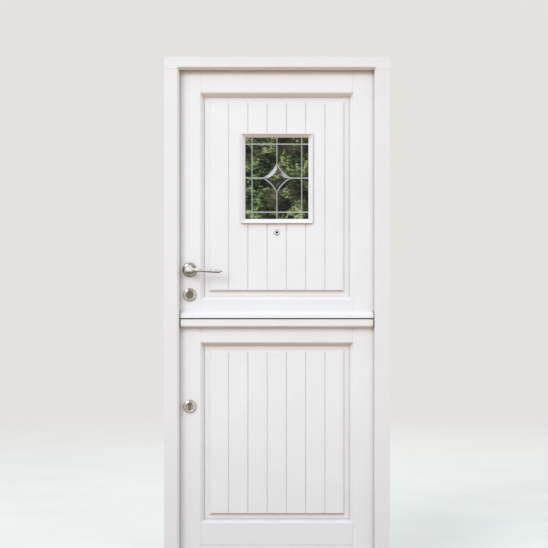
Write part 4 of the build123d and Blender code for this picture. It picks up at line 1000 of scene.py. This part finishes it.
def seenPath(tree):
    # one for what the camera sees, straight, mirrored or through glass
    path = addNode(tree, "ShaderNodeLightPath", {}).outputs
    seen = addNode(tree, "ShaderNodeMath",
                   {"operation": "MAXIMUM", 0: path["Is Camera Ray"], 1: path["Is Glossy Ray"]})
    return addNode(tree, "ShaderNodeMath",
                   {"operation": "MAXIMUM", 0: seen, 1: path["Is Transmission Ray"]})


def paleWorld():
    world = bpy.data.worlds.new("paleStudio")
    bpy.context.scene.world = world
    world.use_nodes = True
    tree = world.node_tree
    tree.nodes.clear()
    direction = addNode(tree, "ShaderNodeTexCoord", {}).outputs["Generated"]
    height = addNode(tree, "ShaderNodeSeparateXYZ", {"Vector": direction}).outputs["Z"]
    dome = blendAlong(tree, room["ground"], room["sky"], height, room["groundFade"])
    light = addNode(tree, "ShaderNodeBackground", {"Color": dome, "Strength": room["skyStrength"]})
    shown = addNode(tree, "ShaderNodeBackground", {"Color": room["background"], "Strength": 1.0})
    both = addNode(tree, "ShaderNodeMixShader", {0: seenPath(tree), 1: light, 2: shown})
    addNode(tree, "ShaderNodeOutputWorld", {"Surface": both})


def paleFloor():
    mesh = bpy.data.meshes.new("floor")
    shape = bmesh.new()
    bmesh.ops.create_circle(shape, cap_ends=True, radius=room["floorReach"], segments=room["floorSides"])
    shape.to_mesh(mesh)
    shape.free()
    floor = bpy.data.objects.new("floor", mesh)
    bpy.context.scene.collection.objects.link(floor)
    material, tree, place = newMaterial("paleFloor")
    distance = addNode(tree, "ShaderNodeVectorMath", {"operation": "LENGTH", 0: place}).outputs["Value"]
    near, far = room["floorFade"]
    fade = addNode(tree, "ShaderNodeMapRange", {"Value": distance, "From Min": near, "From Max": far})
    patches = addNode(tree, "ShaderNodeTexNoise",
                      {"Scale": 1 / room["floorPatch"], "Detail": 4.0, "Vector": place})
    pale = addNode(tree, "ShaderNodeValToRGB",
                   {"Fac": patches, "stops": [(0.3, room["floor"]), (0.8, room["floorPale"])]})
    seen = seenPath(tree)
    glow = addNode(tree, "ShaderNodeMix", {"data_type": "RGBA", 0: seen, 6: room["ground"], 7: pale})
    matt = addNode(tree, "ShaderNodeBsdfDiffuse", {"Roughness": 0.5, "Color": glow.outputs[2]})
    shown = addNode(tree, "ShaderNodeEmission", {"Color": room["background"], "Strength": 1.0})
    outside = addNode(tree, "ShaderNodeMath", {"operation": "MULTIPLY", 0: fade, 1: seen})
    both = addNode(tree, "ShaderNodeMixShader", {0: outside, 1: matt, 2: shown})
    addNode(tree, "ShaderNodeOutputMaterial", {"Surface": both})
    mesh.materials.append(material)
    floor.location = (0, 0, -room["floorDrop"])


lamps = {
    "key": {"at": (-3.5, -5.2, 4.6), "size": 2.8, "power": 165.0, "colour": "#f8faff"},
    "fill": {"at": (2.6, -5.4, 2.6), "size": 3.0, "power": 6.0, "colour": "#f4f8ff"},
    "back": {"at": (1.6, 4.2, 3.4), "size": 2.8, "power": 60.0, "colour": "#ffffff"},
}
doorMiddle = Vector((0, 0, 1.1))

for lampName, lamp in lamps.items():
    data = bpy.data.lights.new(lampName, "AREA")
    data.shape = "SQUARE"
    data.size = lamp["size"]
    data.energy = lamp["power"]
    data.color = linearColour(lamp["colour"])[:3]
    light = bpy.data.objects.new(lampName, data)
    light.location = lamp["at"]
    light.rotation_euler = (doorMiddle - Vector(lamp["at"])).to_track_quat("-Z", "Y").to_euler()
    bpy.context.scene.collection.objects.link(light)

paleWorld()
paleFloor()
print("room:", len(lamps), "lamps")

# the camera stands level and square to the door
cameraPlace = {"at": (-0.0116, -5.0, 1.2205), "focalPixels": 1254.7, "imagePixels": 548, "sensor": 36.0}
cameraData = bpy.data.cameras.new("camera")
cameraData.sensor_width = cameraPlace["sensor"]
cameraData.lens = cameraPlace["focalPixels"] / cameraPlace["imagePixels"] * cameraPlace["sensor"]
camera = bpy.data.objects.new("camera", cameraData)
camera.location = cameraPlace["at"]
camera.rotation_euler = (math.radians(90), 0, 0)
bpy.context.scene.collection.objects.link(camera)
bpy.context.scene.camera = camera
bpy.context.scene.view_settings.view_transform = "Standard"
